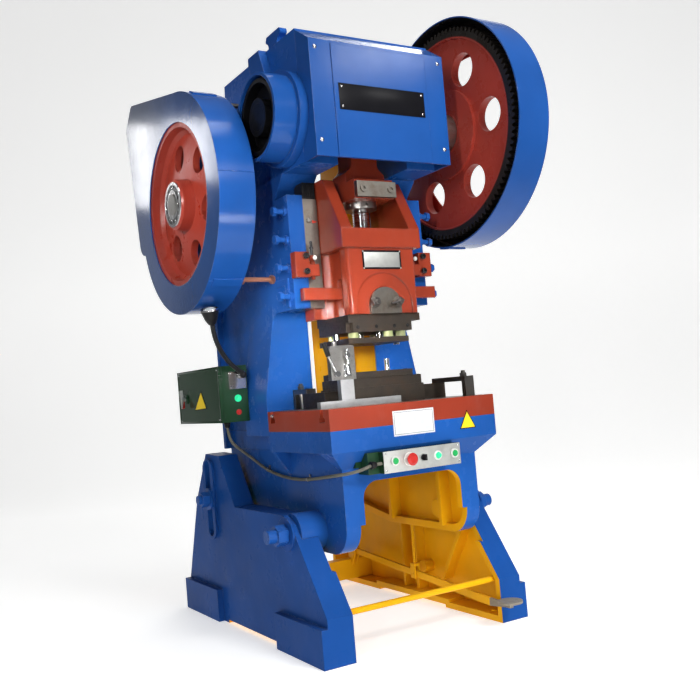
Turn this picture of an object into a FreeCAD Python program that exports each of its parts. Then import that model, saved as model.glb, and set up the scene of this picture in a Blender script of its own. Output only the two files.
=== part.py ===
import FreeCAD, Part
import math
import os
from FreeCAD import Vector

# Open-back inclinable stamping press. Sizes are millimetres.
# X runs across the press, Y towards its rear and Z up from the floor.
# It is drawn with Y = 0 in the plane of the crankshaft and the slide, and X = 0 in the middle.
# The finished pieces are set about the centre of the four floor bolts.

# ---- fits
slide_gap = 0.2            # between sliding faces
running_gap = 0.05         # round a turning shaft, on the radius
pass_gap = 0.4             # between faces that pass each other
side_gap = 2.0             # beside a turning or tilting part

# ---- crank drive
stroke = 100.0
rod_length = 546.0         # crank pin to ball
journal_radius = 60.0
pin_radius = 62.0
web_radius = 120.0
web_inner = 90.0
web_outer = 148.0
shaft_end_radius = 50.0
bush_wall = 12.0
ball_radius = 42.0
screw_radius = 30.0
big_end_radius = 105.0
rod_half_width = 85.0
neck_half_width = 57.0

# ---- frame
column_gap = 304.0         # clear space between the two columns
column_outer = 298.0
head_outer = 290.0
throat_y = 215.0
guide_y = 130.0
throat_below_crank = 692.0
guide_below_crank = 270.0
head_below_crank = 186.0
head_above_crank = 299.0
head_front = -115.0
head_rear = 520.0
crown_thickness = 30.0
back_y = 740.0
bend_below_crank = 461.0
shoulder_y = 550.0
shoulder_below_crank = 111.0
table_half = 355.0
table_front = -255.0
table_bottom = 698.0
table_thickness = 75.0
bolster_thickness = 75.0
apron_front = -198.0
apron_thickness = 28.0
flare_depth = 62.0
cheek_outer = 290.0
cheek_thickness = 28.0
cheek_bottom = 338.0
arch_half = 212.0
arch_top = 585.0
arch_corner = 60.0
frame_rim = 28.0

# ---- legs
leg_inner = 396.0
leg_plate = 20.0
leg_pad = 25.0
leg_rim = 24.0
leg_rim_inner = 332.0
leg_foot_inner = 318.0
leg_front = -241.0
leg_rear = 1012.0
leg_top = 686.0
hinge_y = 5.0
hinge_z = 417.0
hinge_bolt_radius = 24.0
hinge_boss_radius = 70.0
slot_y = 688.0
slot_bolt_z = 500.0
slot_low = 345.0
slot_high = 660.0
slot_width = 54.0
slot_bolt_radius = 19.0
floor_bolt_x = 352.0
floor_bolt_front = -150.0
floor_bolt_rear = 850.0
floor_hole_radius = 13.5

# ---- slide and guides
slide_half = 150.0
slide_front = -118.0
slide_below_ball = 238.0
ledge_above_ball = 77.0
ledge_thickness = 72.0
ledge_front = -130.0
ear_half = 205.0
ear_front = 58.0
ear_below_guide = 41.0     # room for the ears above the slide at the top of its stroke
horn_outer = 172.0
horn_inner = 125.0
horn_below_head = 33.0
gib_front = 28.0
gib_lip_inner = 175.0
gib_outer = 234.0
gib_height = 409.0

# ---- gear pair
module = 8.0
gear_teeth = 104
pinion_teeth = 16
gear_face_x = 440.0
gear_width = 100.0
shaft_y = 420.0
counter_radius = 40.0
counter_bush_wall = 10.0

# ---- flywheel, belts and motor
flywheel_radius = 345.0
flywheel_left = -572.0
flywheel_width = 112.0
groove_depth = 15.0
belt_count = 3
belt_pitch = 30.0
belt_width = 16.0
belt_thickness = 11.0
motor_y = 800.0
motor_above_crank = 139.0
motor_pulley_radius = 80.0
motor_radius = 125.0

# ---- guards
gear_cover_left = 429.0
gear_cover_right = 574.0
gear_cover_clearance = 37.2
gear_cover_opening = 330.0
gear_cover_wall = 5.0
wheel_cover_left = -578.0
wheel_cover_right = -438.0
wheel_cover_radius = 428.0
wheel_cover_opening = 315.0
wheel_cover_wall = 5.0
brake_guard_left = -414.0
brake_guard_bore = 146.0
brake_guard_wall = 12.0
drum_radius = 136.0
hood_front = -208.0
hood_wall = 8.0

# ---- die set
upper_shoe_thickness = 28.0
punch_plate_thickness = 36.0
spring_height = 21.0
stripper_thickness = 20.0
die_height = 120.0
closed_gap = 4.0           # die to stripper at the bottom of the stroke
die_front = -105.0
die_rear = 120.0
upper_die_half = 158.0
shank_radius = 25.0

# ---- controls and electric box
panel_front = -292.0
panel_left = -177.0
panel_right = 150.0
panel_height = 74.0
panel_below_table = 11.0
button_row_below_top = 35.0
button_radius = 11.0
box_depth = 118.0
box_front = 375.0
box_rear = 830.0
box_above_table = 45.0
box_height = 221.0
door_thickness = 12.0

# ---- derived positions
gap_half = column_gap / 2
wall_outer = max(column_outer, head_outer)
throw = stroke / 2
table_top = table_bottom + table_thickness
bolster_top = table_top + bolster_thickness
die_top = bolster_top + die_height
upper_die_height = upper_shoe_thickness + punch_plate_thickness + spring_height + stripper_thickness
# The crank's height is the whole stack from the table up, with the slide at the top of its stroke.
slide_bottom = die_top + closed_gap + stroke + upper_die_height
ball_height = slide_bottom + slide_below_ball
pin_height = ball_height + rod_length
crank_height = pin_height - throw
throat_top = crank_height - throat_below_crank
guide_top = crank_height - guide_below_crank
head_bottom = crank_height - head_below_crank
head_top = crank_height + head_above_crank
back_bend_z = crank_height - bend_below_crank
shoulder_z = crank_height - shoulder_below_crank
ledge_top = ball_height + ledge_above_ball
ledge_bottom = ledge_top - ledge_thickness
ear_top = guide_top - ear_below_guide
horn_top = head_bottom - horn_below_head
flare_bottom = table_bottom - flare_depth
panel_top = table_bottom - panel_below_table
panel_bottom = panel_top - panel_height
button_row_z = panel_top - button_row_below_top
box_inner = -table_half - side_gap
box_outer = box_inner - box_depth
box_bottom = table_top + box_above_table
box_top = box_bottom + box_height
motor_z = crank_height + motor_above_crank
leg_outer = leg_inner + leg_plate
addendum = 0.85 * module
gear_pitch = module * gear_teeth / 2
gear_tip = gear_pitch + addendum
gear_cover_radius = gear_tip + gear_cover_clearance
pinion_pitch = module * pinion_teeth / 2
shaft_drop = math.sqrt((gear_pitch + pinion_pitch) ** 2 - shaft_y ** 2)
shaft_z = crank_height - shaft_drop
drum_left = brake_guard_left + 8.0
hood_half = head_outer
x_axis = Vector(1, 0, 0)
y_axis = Vector(0, 1, 0)
z_axis = Vector(0, 0, 1)


# ---- shape helpers
def block(x, y, z):
    return Part.makeBox(x[1] - x[0], y[1] - y[0], z[1] - z[0], Vector(x[0], y[0], z[0]))


def rod(radius, start, end):
    start = Vector(*start)
    along = Vector(*end) - start
    return Part.makeCylinder(radius, along.Length, start, along)


def cone(first, second, start, end):
    start = Vector(*start)
    along = Vector(*end) - start
    return Part.makeCone(first, second, along.Length, start, along)


def tube(outer, inner, start, end):
    return rod(outer, start, end).cut(rod(inner, start, end))


# A closed outline in the plane across an axis; a third number rounds that corner.
def outline(points, level, axis):
    place = {
        "x": lambda corner: Vector(level, corner.x, corner.y),
        "y": lambda corner: Vector(corner.x, level, corner.y),
        "z": lambda corner: Vector(corner.x, corner.y, level),
    }[axis]
    count = len(points)
    marks = []
    for index, point in enumerate(points):
        here = Vector(point[0], point[1], 0)
        if len(point) == 2:
            marks.append((here, None, here))
            continue
        back = points[index - 1]
        ahead = points[(index + 1) % count]
        to_back = Vector(back[0] - here.x, back[1] - here.y, 0).normalize()
        to_ahead = Vector(ahead[0] - here.x, ahead[1] - here.y, 0).normalize()
        half = to_back.getAngle(to_ahead) / 2
        reach = point[2] / math.tan(half)
        inward = (to_back + to_ahead).normalize()
        middle = here + inward * (point[2] / math.sin(half) - point[2])
        marks.append((here + to_back * reach, middle, here + to_ahead * reach))
    edges = []
    for index, (start, middle, end) in enumerate(marks):
        if middle is not None:
            edges.append(Part.Arc(place(start), place(middle), place(end)).toShape())
        following = marks[(index + 1) % count][0]
        if (following - end).Length > 1e-6:
            edges.append(Part.makeLine(place(end), place(following)))
    return Part.Wire(edges)


def plate_x(points, low, high):
    return Part.Face(outline(points, low, "x")).extrude(x_axis * (high - low))


def plate_y(points, low, high):
    return Part.Face(outline(points, low, "y")).extrude(y_axis * (high - low))


def plate_z(points, low, high):
    return Part.Face(outline(points, low, "z")).extrude(z_axis * (high - low))


# A band of the given width that follows the inside of an outline in the YZ plane.
def rim_x(points, width, low, high):
    inner = Part.Face(outline(points, low, "x")).makeOffset2D(-width, 2)
    return plate_x(points, low, high).cut(inner.extrude(x_axis * (high - low)))


# A body turned about a line along X, from (x, radius) points.
def turned(points, centre_y, centre_z):
    corners = [Vector(x, centre_y, centre_z + radius) for x, radius in points]
    face = Part.Face(Part.makePolygon(corners + corners[:1]))
    return face.revolve(Vector(0, centre_y, centre_z), x_axis, 360)


def hexagon(across, start, end):
    start = Vector(*start)
    along = Vector(*end) - start
    radius = across / math.sqrt(3)
    side = Part.makeCylinder(radius, along.Length, start, along)
    turn = FreeCAD.Rotation(z_axis, Vector(along))
    corners = []
    for step in range(6):
        angle = math.radians(60 * step)
        corners.append(start + turn.multVec(Vector(radius * math.cos(angle), radius * math.sin(angle), 0)))
    return Part.Face(Part.makePolygon(corners + corners[:1])).extrude(along).common(side)


def mirrored(shape):
    return shape.mirror(Vector(0, 0, 0), x_axis)


def pair(shape):
    return [shape, mirrored(shape)]


def join(*shapes):
    flat = []
    for shape in shapes:
        flat.extend(shape if isinstance(shape, list) else [shape])
    if len(flat) == 1:
        return flat[0]
    return flat[0].fuse(flat[1:]).removeSplitter()


def cut(shape, *tools):
    flat = []
    for tool in tools:
        flat.extend(tool if isinstance(tool, list) else [tool])
    return shape.cut(flat)


def save(name, *solids):
    shape = solids[0] if len(solids) == 1 else Part.makeCompound(list(solids))
    os.makedirs("parts", exist_ok=True)
    shape = shape.translated(Vector(0, -(floor_bolt_front + floor_bolt_rear) / 2, 0))
    shape.exportStep("parts/" + name + ".step")


# A round lead along straight runs and tangent arcs, each arc as large as its runs allow.
def lead(name, points, radius):
    corners = [Vector(*point) for point in points]
    edges = []
    bends = []
    start = corners[0]
    for before, here, after in zip(corners, corners[1:], corners[2:]):
        into = here - before
        out = after - here
        turn = into.getAngle(out)
        reach = 0.45 * min(into.Length, out.Length)
        bend = reach / math.tan(turn / 2)
        bends.append(bend)
        into_way = Vector(into).normalize()
        out_way = Vector(out).normalize()
        inward = (out_way - into_way).normalize()
        arc_start = here - into_way * reach
        arc_middle = here + inward * (bend / math.cos(turn / 2) - bend)
        arc_end = here + out_way * reach
        edges.append(Part.makeLine(start, arc_start))
        edges.append(Part.Arc(arc_start, arc_middle, arc_end).toShape())
        start = arc_end
    edges.append(Part.makeLine(start, corners[-1]))
    path = Part.Wire(edges)
    section = Part.Wire(Part.makeCircle(radius, corners[0], corners[1] - corners[0]))
    solid = path.makePipeShell([section], True, False)
    print(name, "arc radii", [round(bend) for bend in bends], "length", round(path.Length, 1))
    fill = solid.Volume / (math.pi * radius ** 2 * path.Length)
    print(name, "volume over section times length", round(fill, 4))
    return solid


# ---- legs: two mirrored castings, a rear beam and a front tie rod
leg_outline = [
    (leg_front, 0), (leg_front, 160), (-30, 455, 30), (27, 481, 30), (456, 481),
    (587, leg_top - 6), (723, leg_top), (862, 484), (leg_rear, 130), (leg_rear, 0),
    (600, 0), (600, 12), (110, 12), (110, 0),
]
leg_waist = 290.0
leg_rib_depth = 46.0
pad_height = 130.0
front_pad_rear = 110.0
rear_pad_front = 646.0
tie_rod_y = -190.0
tie_rod_z = 155.0
tie_rod_radius = 11.0
beam_front = 785.0
beam_rear = 835.0
beam_bottom = 28.0
beam_top = 118.0


def leg():
    plate = plate_x(leg_outline, leg_inner, leg_outer)
    rim = rim_x(leg_outline, leg_rim, leg_rim_inner, leg_inner)
    foot = rim_x(leg_outline, leg_rim, leg_foot_inner, leg_rim_inner)
    foot = foot.common(block((leg_foot_inner, leg_rim_inner), (leg_front, leg_rear), (0, leg_waist)))
    pads = [
        block((leg_outer, leg_outer + leg_pad), (leg_front, front_pad_rear), (0, pad_height)),
        block((leg_outer, leg_outer + leg_pad), (rear_pad_front, leg_rear), (0, pad_height)),
    ]
    rib = (leg_inner - leg_rib_depth, leg_inner)
    ribs = [
        block(rib, (330, 350), (leg_rim, 470)),
        block(rib, (432, 446), (leg_rim, 470)),
        plate_x([(4, 317), (24, 317), (170, 100), (150, 100)], rib[0], rib[1]),
        rod(25, (rib[0], 296, 135), (rib[1], 296, 135)),
    ]
    hinge_ring = rod(60, (leg_outer, hinge_y, hinge_z), (leg_outer + 8, hinge_y, hinge_z))
    body = join(plate, rim, foot, pads, ribs, hinge_ring, slot_shape(105, 12, leg_outer, leg_outer + 12))
    slot = slot_shape(slot_width, 0, leg_inner - 1, leg_outer + 13)
    hinge_hole = rod(hinge_bolt_radius + 0.5, (leg_inner - 1, hinge_y, hinge_z),
                     (leg_outer + 9, hinge_y, hinge_z))
    floor_holes = []
    for y in (floor_bolt_front, floor_bolt_rear):
        floor_holes.append(rod(floor_hole_radius, (floor_bolt_x, y, -1), (floor_bolt_x, y, leg_rim + 1)))
    boss_room = rod(hinge_boss_radius + side_gap, (leg_foot_inner, hinge_y, hinge_z),
                    (leg_inner, hinge_y, hinge_z))
    return cut(body, slot, hinge_hole, floor_holes, boss_room)


# The slot stands a little behind the bolt, whose path about the hinge is bowed.
def slot_shape(width, extra, low, high):
    centre = slot_y + 2
    return plate_x([
        (centre - width / 2, slot_low - extra, width / 2 - 1),
        (centre + width / 2, slot_low - extra, width / 2 - 1),
        (centre + width / 2, slot_high + extra / 2, width / 2 - 1),
        (centre - width / 2, slot_high + extra / 2, width / 2 - 1),
    ], low, high)


right_leg = leg()
save("right_leg", right_leg)
save("left_leg", mirrored(right_leg))

pedal_x = 302.0
pedal_pivot_y = 765.0
pedal_pivot_z = 158.0
pedal_pin_radius = 8.0
lever_half = 5.0

# The rear beam carries the two lugs of the pedal's pivot.
lug = plate_x([
    (beam_front, beam_top - 30), (beam_front, 180), (750, 180, 12), (750, 140, 12),
], pedal_x + lever_half + side_gap, pedal_x + lever_half + side_gap + 8)
lug = cut(lug, rod(pedal_pin_radius + running_gap, (0, pedal_pivot_y, pedal_pivot_z),
                   (leg_inner, pedal_pivot_y, pedal_pivot_z)))
lug_foot = block((pedal_x - 15, pedal_x + 15), (beam_front, beam_front + 20), (beam_top, 180))
other_lug = lug.mirror(Vector(pedal_x, 0, 0), x_axis)
beam = block((-leg_inner, leg_inner), (beam_front, beam_rear), (beam_bottom, beam_top))
save("rear_cross_beam", join(beam, lug_foot, lug, other_lug))

tie_rod = rod(tie_rod_radius, (-leg_inner, tie_rod_y, tie_rod_z), (leg_inner, tie_rod_y, tie_rod_z))
tie_nut = hexagon(28, (leg_inner - 16, tie_rod_y, tie_rod_z), (leg_inner, tie_rod_y, tie_rod_z))
save("front_tie_rod", join(tie_rod, pair(tie_nut)))

hinge_nut_x = leg_outer + 8
hinge_bolt = join(
    rod(hinge_bolt_radius, (cheek_outer - cheek_thickness - 1, hinge_y, hinge_z), (498, hinge_y, hinge_z)),
    rod(36, (cheek_outer - cheek_thickness - 21, hinge_y, hinge_z),
        (cheek_outer - cheek_thickness - pass_gap, hinge_y, hinge_z)),
    hexagon(65, (hinge_nut_x, hinge_y, hinge_z), (hinge_nut_x + 40, hinge_y, hinge_z)),
)
save("hinge_bolts", *pair(hinge_bolt))

# ---- tilting frame
frame_outline = [
    (apron_front, table_bottom), (apron_front, cheek_bottom, 100), (330, cheek_bottom, 60),
    (back_y, 410, 40), (back_y, table_bottom),
]
guide_block_y = (gib_front, guide_y)
back_flange = 25.0
boss_face = leg_inner - side_gap


# Rear edge of the side walls at a height above the bend.
def back_edge(z):
    if z <= shoulder_z:
        share = (z - back_bend_z) / (shoulder_z - back_bend_z)
        return back_y + (shoulder_y - back_y) * share
    share = (z - shoulder_z) / (head_top - shoulder_z)
    return shoulder_y + (head_rear - shoulder_y) * share


def side_wall():
    chamfer = head_bottom - guide_top
    column = plate_x([
        (throat_y, table_top), (throat_y, throat_top, 45), (guide_y, throat_top), (guide_y, guide_top),
        (guide_y - chamfer, head_bottom), (back_edge(head_bottom), head_bottom),
        (back_y, back_bend_z), (back_y, table_top),
    ], gap_half, column_outer)
    head = plate_x([
        (head_front, head_bottom), (head_front, head_top), (head_rear, head_top),
        (shoulder_y, shoulder_z), (back_edge(head_bottom), head_bottom),
    ], gap_half, head_outer)
    flare = plate_y([
        (gap_half + 50, table_top - 16), (table_half, table_top - 16), (table_half, table_top + 127, 250),
        (column_outer + 2, throat_top - 4, 250), (column_outer, throat_top + 41),
        (gap_half + 50, throat_top + 41),
    ], throat_y, throat_y + 205)
    flange = plate_x([
        (back_y, table_bottom), (back_y, back_bend_z, 80), (shoulder_y, shoulder_z),
        (shoulder_y - back_flange, shoulder_z - 8), (back_y - back_flange, back_bend_z - 8, 80),
        (back_y - back_flange, table_bottom),
    ], column_outer, column_outer + 24)
    guide = block((gib_outer, column_outer), guide_block_y, (throat_top, guide_top))
    bores = [
        rod(journal_radius + bush_wall, (0, 0, crank_height), (wall_outer + 1, 0, crank_height)),
        rod(counter_radius + counter_bush_wall, (0, shaft_y, shaft_z), (column_outer + 1, shaft_y, shaft_z)),
    ]
    for z in gib_bolt_heights:
        bores.append(rod(gib_bolt_radius, (gib_outer - 1, gib_bolt_y, z), (column_outer + 1, gib_bolt_y, z)))
    return cut(join(column, head, flare, flange, guide), bores)


gib_bolt_heights = [throat_top + 47 + 105 * step for step in range(4)]
gib_bolt_radius = 10.0
gib_bolt_y = gib_front + 21


def lower_side():
    inner = cheek_outer - cheek_thickness
    cheek = plate_x(frame_outline, inner, cheek_outer)
    rim = rim_x(frame_outline, frame_rim, inner - 30, inner)
    ribs = [
        block((inner - 48, inner), (-60, -40), (cheek_bottom + 20, table_bottom)),
        block((inner - 48, inner), (290, 310), (cheek_bottom + 20, table_bottom)),
    ]
    gusset = plate_y([(cheek_outer, table_bottom), (table_half, table_bottom), (cheek_outer, 604)], 180, 200)
    boss = rod(hinge_boss_radius, (cheek_outer, hinge_y, hinge_z), (boss_face, hinge_y, hinge_z))
    rear_boss = rod(40, (cheek_outer, slot_y, slot_bolt_z), (boss_face, slot_y, slot_bolt_z))
    hinge_bore = rod(hinge_bolt_radius + running_gap, (0, hinge_y, hinge_z),
                     (boss_face + 1, hinge_y, hinge_z))
    rear_bore = rod(slot_bolt_radius, (0, slot_y, slot_bolt_z), (boss_face + 1, slot_y, slot_bolt_z))
    return cut(join(cheek, rim, ribs, gusset, boss, rear_boss), hinge_bore, rear_bore)


# The apron's top spreads forward and sideways to the table's front edge.
def apron_flare(back):
    side_view = plate_x([
        (back, flare_bottom), (apron_front, flare_bottom), (table_front, table_bottom), (back, table_bottom),
    ], -table_half, table_half)
    front_view = plate_y([
        (-cheek_outer, flare_bottom), (-table_half, table_bottom), (table_half, table_bottom),
        (cheek_outer, flare_bottom),
    ], table_front, back)
    return side_view.common(front_view)


def apron():
    front = plate_y([
        (-cheek_outer, cheek_bottom + 100), (-cheek_outer, table_bottom), (cheek_outer, table_bottom),
        (cheek_outer, cheek_bottom + 100), (arch_half, cheek_bottom + 100),
        (arch_half, arch_top, arch_corner), (-arch_half, arch_top, arch_corner),
        (-arch_half, cheek_bottom + 100),
    ], apron_front, apron_front + apron_thickness)
    return join(front, apron_flare(apron_front + apron_thickness))


def crown():
    top = block((-gap_half, gap_half), (head_front, head_rear), (head_top - crown_thickness, head_top))
    back = block((-gap_half, gap_half), (head_rear - 25, head_rear),
                 (crank_height + 69, head_top - crown_thickness))
    lug_shape = plate_x([
        (62, head_top), (86, head_top + 36, 20), (42, head_top + 54, 8), (48, head_top + 74, 8),
        (160, head_top + 74, 8), (169, head_top + 54, 8), (140, head_top + 36, 20), (158, head_top),
    ], 232, 262)
    return join(top, back, pair(lug_shape))


table_plate = join(
    block((-table_half, table_half), (table_front, throat_y), (table_bottom, table_top)),
    block((-column_outer, column_outer), (throat_y, back_y), (table_bottom, table_top)),
)
back_wall = block((-cheek_outer, cheek_outer), (back_y - 28, back_y), (450, table_bottom))
scrap_hole_radius = 75.0
scrap_hole = rod(scrap_hole_radius, (0, 0, table_bottom - 1), (0, 0, bolster_top + 1))

walls = side_wall()
lower = lower_side()
body_frame = join(walls, mirrored(walls), lower, mirrored(lower), apron(), crown(), table_plate, back_wall)
body_frame = cut(body_frame, scrap_hole)
save("body_frame", body_frame)

slot_washer_x = leg_outer + 12 + 0.3
slot_bolt = join(
    rod(slot_bolt_radius, (cheek_outer - cheek_thickness, slot_y, slot_bolt_z),
        (slot_washer_x + 52, slot_y, slot_bolt_z)),
    rod(45, (slot_washer_x, slot_y, slot_bolt_z), (slot_washer_x + 7, slot_y, slot_bolt_z)),
    hexagon(55, (slot_washer_x + 7, slot_y, slot_bolt_z), (slot_washer_x + 38, slot_y, slot_bolt_z)),
)
save("slot_bolts", *pair(slot_bolt))


# T-slots run across the bolster in front of and behind the die.
def tee_slot(y):
    throat = block((-table_half - 1, table_half + 1), (y - 11, y + 11), (bolster_top - 28, bolster_top + 1))
    foot = block((-table_half - 1, table_half + 1), (y - 19, y + 19), (bolster_top - 44, bolster_top - 28))
    return throat.fuse(foot)


tee_slot_front = -205.0
tee_slot_rear = 175.0
bolster = block((-table_half, table_half), (table_front, throat_y - 1), (table_top, bolster_top))
save("bolster_plate", cut(bolster, tee_slot(tee_slot_front), tee_slot(tee_slot_rear), scrap_hole))

# ---- gibs: an angle-shaped guide bar on each side, held by adjusting screws
gib_bottom = throat_top
gib_top = gib_bottom + gib_height
gib = join(
    block((gib_lip_inner, gib_outer), (gib_front, ear_front), (gib_bottom, gib_top)),
    block((ear_half, gib_outer), (ear_front, guide_y), (gib_bottom, gib_top)),
)
save("right_gib", gib)
save("left_gib", mirrored(gib))

gib_bolts = []
for z in gib_bolt_heights:
    bolt = join(
        rod(gib_bolt_radius, (gib_outer, gib_bolt_y, z), (column_outer + 42, gib_bolt_y, z)),
        hexagon(30, (column_outer, gib_bolt_y, z), (column_outer + 12, gib_bolt_y, z)),
        hexagon(30, (column_outer + 40, gib_bolt_y, z), (column_outer + 55, gib_bolt_y, z)),
    )
    gib_bolts.extend(pair(bolt))
save("gib_bolts", *gib_bolts)

# ---- head: bushes, crankshaft and its covers
bushes = pair(tube(journal_radius + bush_wall, journal_radius + running_gap,
                   (gap_half, 0, crank_height), (head_outer, 0, crank_height)))
bushes += pair(tube(counter_radius + counter_bush_wall, counter_radius + running_gap,
                    (gap_half, shaft_y, shaft_z), (column_outer, shaft_y, shaft_z)))
save("shaft_bushes", *bushes)

gear_hub_left = gear_face_x - 2
gear_hub_right = gear_face_x + gear_width + 6
shaft_right = gear_hub_right + 1
webs = rod(web_radius, (web_inner, 0, crank_height + throw / 2), (web_outer, 0, crank_height + throw / 2))
crankshaft = join(
    rod(pin_radius, (-web_inner, 0, pin_height), (web_inner, 0, pin_height)),
    pair(webs),
    pair(rod(journal_radius, (web_outer, 0, crank_height), (head_outer + side_gap, 0, crank_height))),
    rod(shaft_end_radius, (drum_left, 0, crank_height), (-head_outer - side_gap, 0, crank_height)),
    rod(80, (head_outer + side_gap, 0, crank_height), (gear_hub_left - 1, 0, crank_height)),
    rod(shaft_end_radius, (gear_hub_left - 1, 0, crank_height), (shaft_right, 0, crank_height)),
    rod(64, (shaft_right, 0, crank_height), (shaft_right + 14, 0, crank_height)),
    hexagon(90, (shaft_right + 14, 0, crank_height), (shaft_right + 22, 0, crank_height)),
)
save("crankshaft", crankshaft)

drum_right = -head_outer - 10
brake_drum = turned([
    (drum_left, shaft_end_radius), (drum_left, 68), (drum_left + 40, 68), (drum_left + 40, drum_radius - 14),
    (drum_left, drum_radius - 14), (drum_left, drum_radius), (drum_right, drum_radius),
    (drum_right, shaft_end_radius),
], 0, crank_height)
save("brake_drum", brake_drum)

# An open steel band round the drum, held by three pads inside the guard.
band_left = drum_left + 12
band_right = drum_right - 8
band = tube(drum_radius + 6, drum_radius + pass_gap, (band_left, 0, crank_height),
            (band_right, 0, crank_height))
pads = []
for angle in (45, 165, 285):
    pad = block((band_left + 10, band_right - 10), (drum_radius + 3, brake_guard_bore + 3), (-14, 14))
    pad.rotate(Vector(0, 0, 0), x_axis, angle)
    pad.translate(Vector(0, 0, crank_height))
    pads.append(pad.common(rod(brake_guard_bore, (brake_guard_left, 0, crank_height), (0, 0, crank_height))))
gap_cut = block((brake_guard_left, -head_outer), (0, 200), (crank_height - 9, crank_height + 9))
save("brake_band", cut(join(band, pads), gap_cut))

guard_outer = brake_guard_bore + brake_guard_wall
guard_arm = plate_x([
    (-110, crank_height + 64), (75, crank_height + 193), (111, head_top - 14), (111, head_top),
    (208, head_top), (208, head_top - 30, 20), (150, crank_height + 109, 60),
    (130, crank_height), (-100, crank_height),
], -head_outer - 34, -head_outer)
guard = join(
    rod(guard_outer, (brake_guard_left, 0, crank_height), (-head_outer, 0, crank_height)),
    rod(guard_outer + 17, (-head_outer - 34, 0, crank_height), (-head_outer, 0, crank_height)),
    guard_arm,
)
guard_bore = rod(brake_guard_bore, (brake_guard_left - 1, 0, crank_height), (0, 0, crank_height))
save("brake_guard", cut(guard, guard_bore))


# ---- hood over the crank, a folded cover with a raised middle panel
def hood_body(inset, half):
    return plate_x([
        (head_front + inset, head_bottom - inset), (hood_front + inset, head_bottom - inset),
        (hood_front + inset, head_top - 69 - inset / 2), (head_front + inset, head_top - 5 - inset),
    ], -half, half)


hood_panel_half = 203.0
hood_inside = hood_body(hood_wall, hood_half - hood_wall)
hood_mouth = block((-hood_half + hood_wall, hood_half - hood_wall), (head_front - 20, head_front + 1),
                   (head_bottom, head_top - 5 - 2 * hood_wall - 6))
hood_panel = block((-hood_panel_half, hood_panel_half), (hood_front - 5, hood_front),
                   (head_bottom, head_top - 80))
save("hood", join(cut(hood_body(0, hood_half), hood_inside, hood_mouth), hood_panel))

# ---- connecting rod, its cap, clamp, screw and ball
block_bottom = pin_height - 353
block_front = -105.0
block_rear = 48.0
shoulder_height = pin_height - 249
flange_half = 30.0
flange_reach = big_end_radius + 30


def big_end(low, high):
    ring = rod(big_end_radius, (-rod_half_width, 0, pin_height), (rod_half_width, 0, pin_height))
    flange = block((-rod_half_width, rod_half_width), (-flange_reach, flange_reach),
                   (pin_height - flange_half, pin_height + flange_half))
    half = block((-200, 200), (-200, 200), (low, high))
    return join(ring, flange).common(half)


pin_bore = rod(pin_radius + running_gap, (-200, 0, pin_height), (200, 0, pin_height))
cap_bolt_y = flange_reach - 15
cap_bolt_x = rod_half_width - 22
cap_bolts = []
cap_holes = []
for x in (-cap_bolt_x, cap_bolt_x):
    for y in (-cap_bolt_y, cap_bolt_y):
        cap_bolts.append(rod(9, (x, y, pin_height - flange_half - 12), (x, y, pin_height + flange_half)))
        cap_bolts.append(hexagon(26, (x, y, pin_height + flange_half),
                                 (x, y, pin_height + flange_half + 14)))
        cap_holes.append(rod(9, (x, y, pin_height - flange_half - 12), (x, y, pin_height)))

neck = plate_y([
    (-neck_half_width, pin_height - 70), (-neck_half_width, shoulder_height + 26, 30),
    (-rod_half_width, shoulder_height), (-rod_half_width, block_bottom), (rod_half_width, block_bottom),
    (rod_half_width, shoulder_height), (neck_half_width, shoulder_height + 26, 30),
    (neck_half_width, pin_height - 70),
], -53, 45)
rod_block = block((-rod_half_width, rod_half_width), (block_front, block_rear),
                  (block_bottom, shoulder_height - 32))
screw_bore = rod(screw_radius, (0, 0, block_bottom - 1), (0, 0, shoulder_height + 20))
rod_half = big_end(pin_height - 2 * big_end_radius, pin_height)
connecting_rod = cut(join(rod_half, neck, rod_block), pin_bore, screw_bore, cap_holes)
save("connecting_rod", connecting_rod)
save("rod_cap", join(cut(big_end(pin_height, pin_height + 2 * big_end_radius), pin_bore), cap_bolts))

clamp_bolt_z = block_bottom + 32
clamp_plate = block((-rod_half_width, rod_half_width), (block_front - 20, block_front),
                    (block_bottom + 3, block_bottom + 60))
clamp_bolts = []
for x in (-60, 60):
    clamp_bolts.append(tube(13, 7, (x, block_front - 26, clamp_bolt_z), (x, block_front - 20, clamp_bolt_z)))
save("clamp_plate", join(clamp_plate, clamp_bolts))

ring_thickness = 25.0
ball = Part.makeSphere(ball_radius, Vector(0, 0, ball_height))
ball_screw = join(ball, rod(screw_radius, (0, 0, ball_height), (0, 0, shoulder_height + 20)))
save("ball_screw", ball_screw)

lock_ring = tube(62, screw_radius, (0, 0, block_bottom - ring_thickness), (0, 0, block_bottom))
tommy_holes = []
for step in range(6):
    angle = math.radians(60 * step + 20)
    outside = (70 * math.cos(angle), 70 * math.sin(angle), block_bottom - ring_thickness / 2)
    inside = (48 * math.cos(angle), 48 * math.sin(angle), block_bottom - ring_thickness / 2)
    tommy_holes.append(rod(6, inside, outside))
save("lock_ring", cut(lock_ring, tommy_holes))

# ---- slide, with horns beside the rod, ears in the gibs and a well for the ball
well_margin = 4.0
well_floor = ball_height - ball_radius - 12
bar_rear = 5.0
bar_front = -20.0
bar_bottom = slide_bottom + 66
bar_height = 45.0
bar_lift = 30.0
clamp_radius = 68.0
clamp_z = slide_bottom + 29


def clamp_outline(extra):
    return [
        (-clamp_radius - extra, slide_bottom), (-clamp_radius - extra, clamp_z + clamp_radius + extra,
                                                clamp_radius - 1 + extra),
        (clamp_radius + extra, clamp_z + clamp_radius + extra, clamp_radius - 1 + extra),
        (clamp_radius + extra, slide_bottom),
    ]


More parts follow.
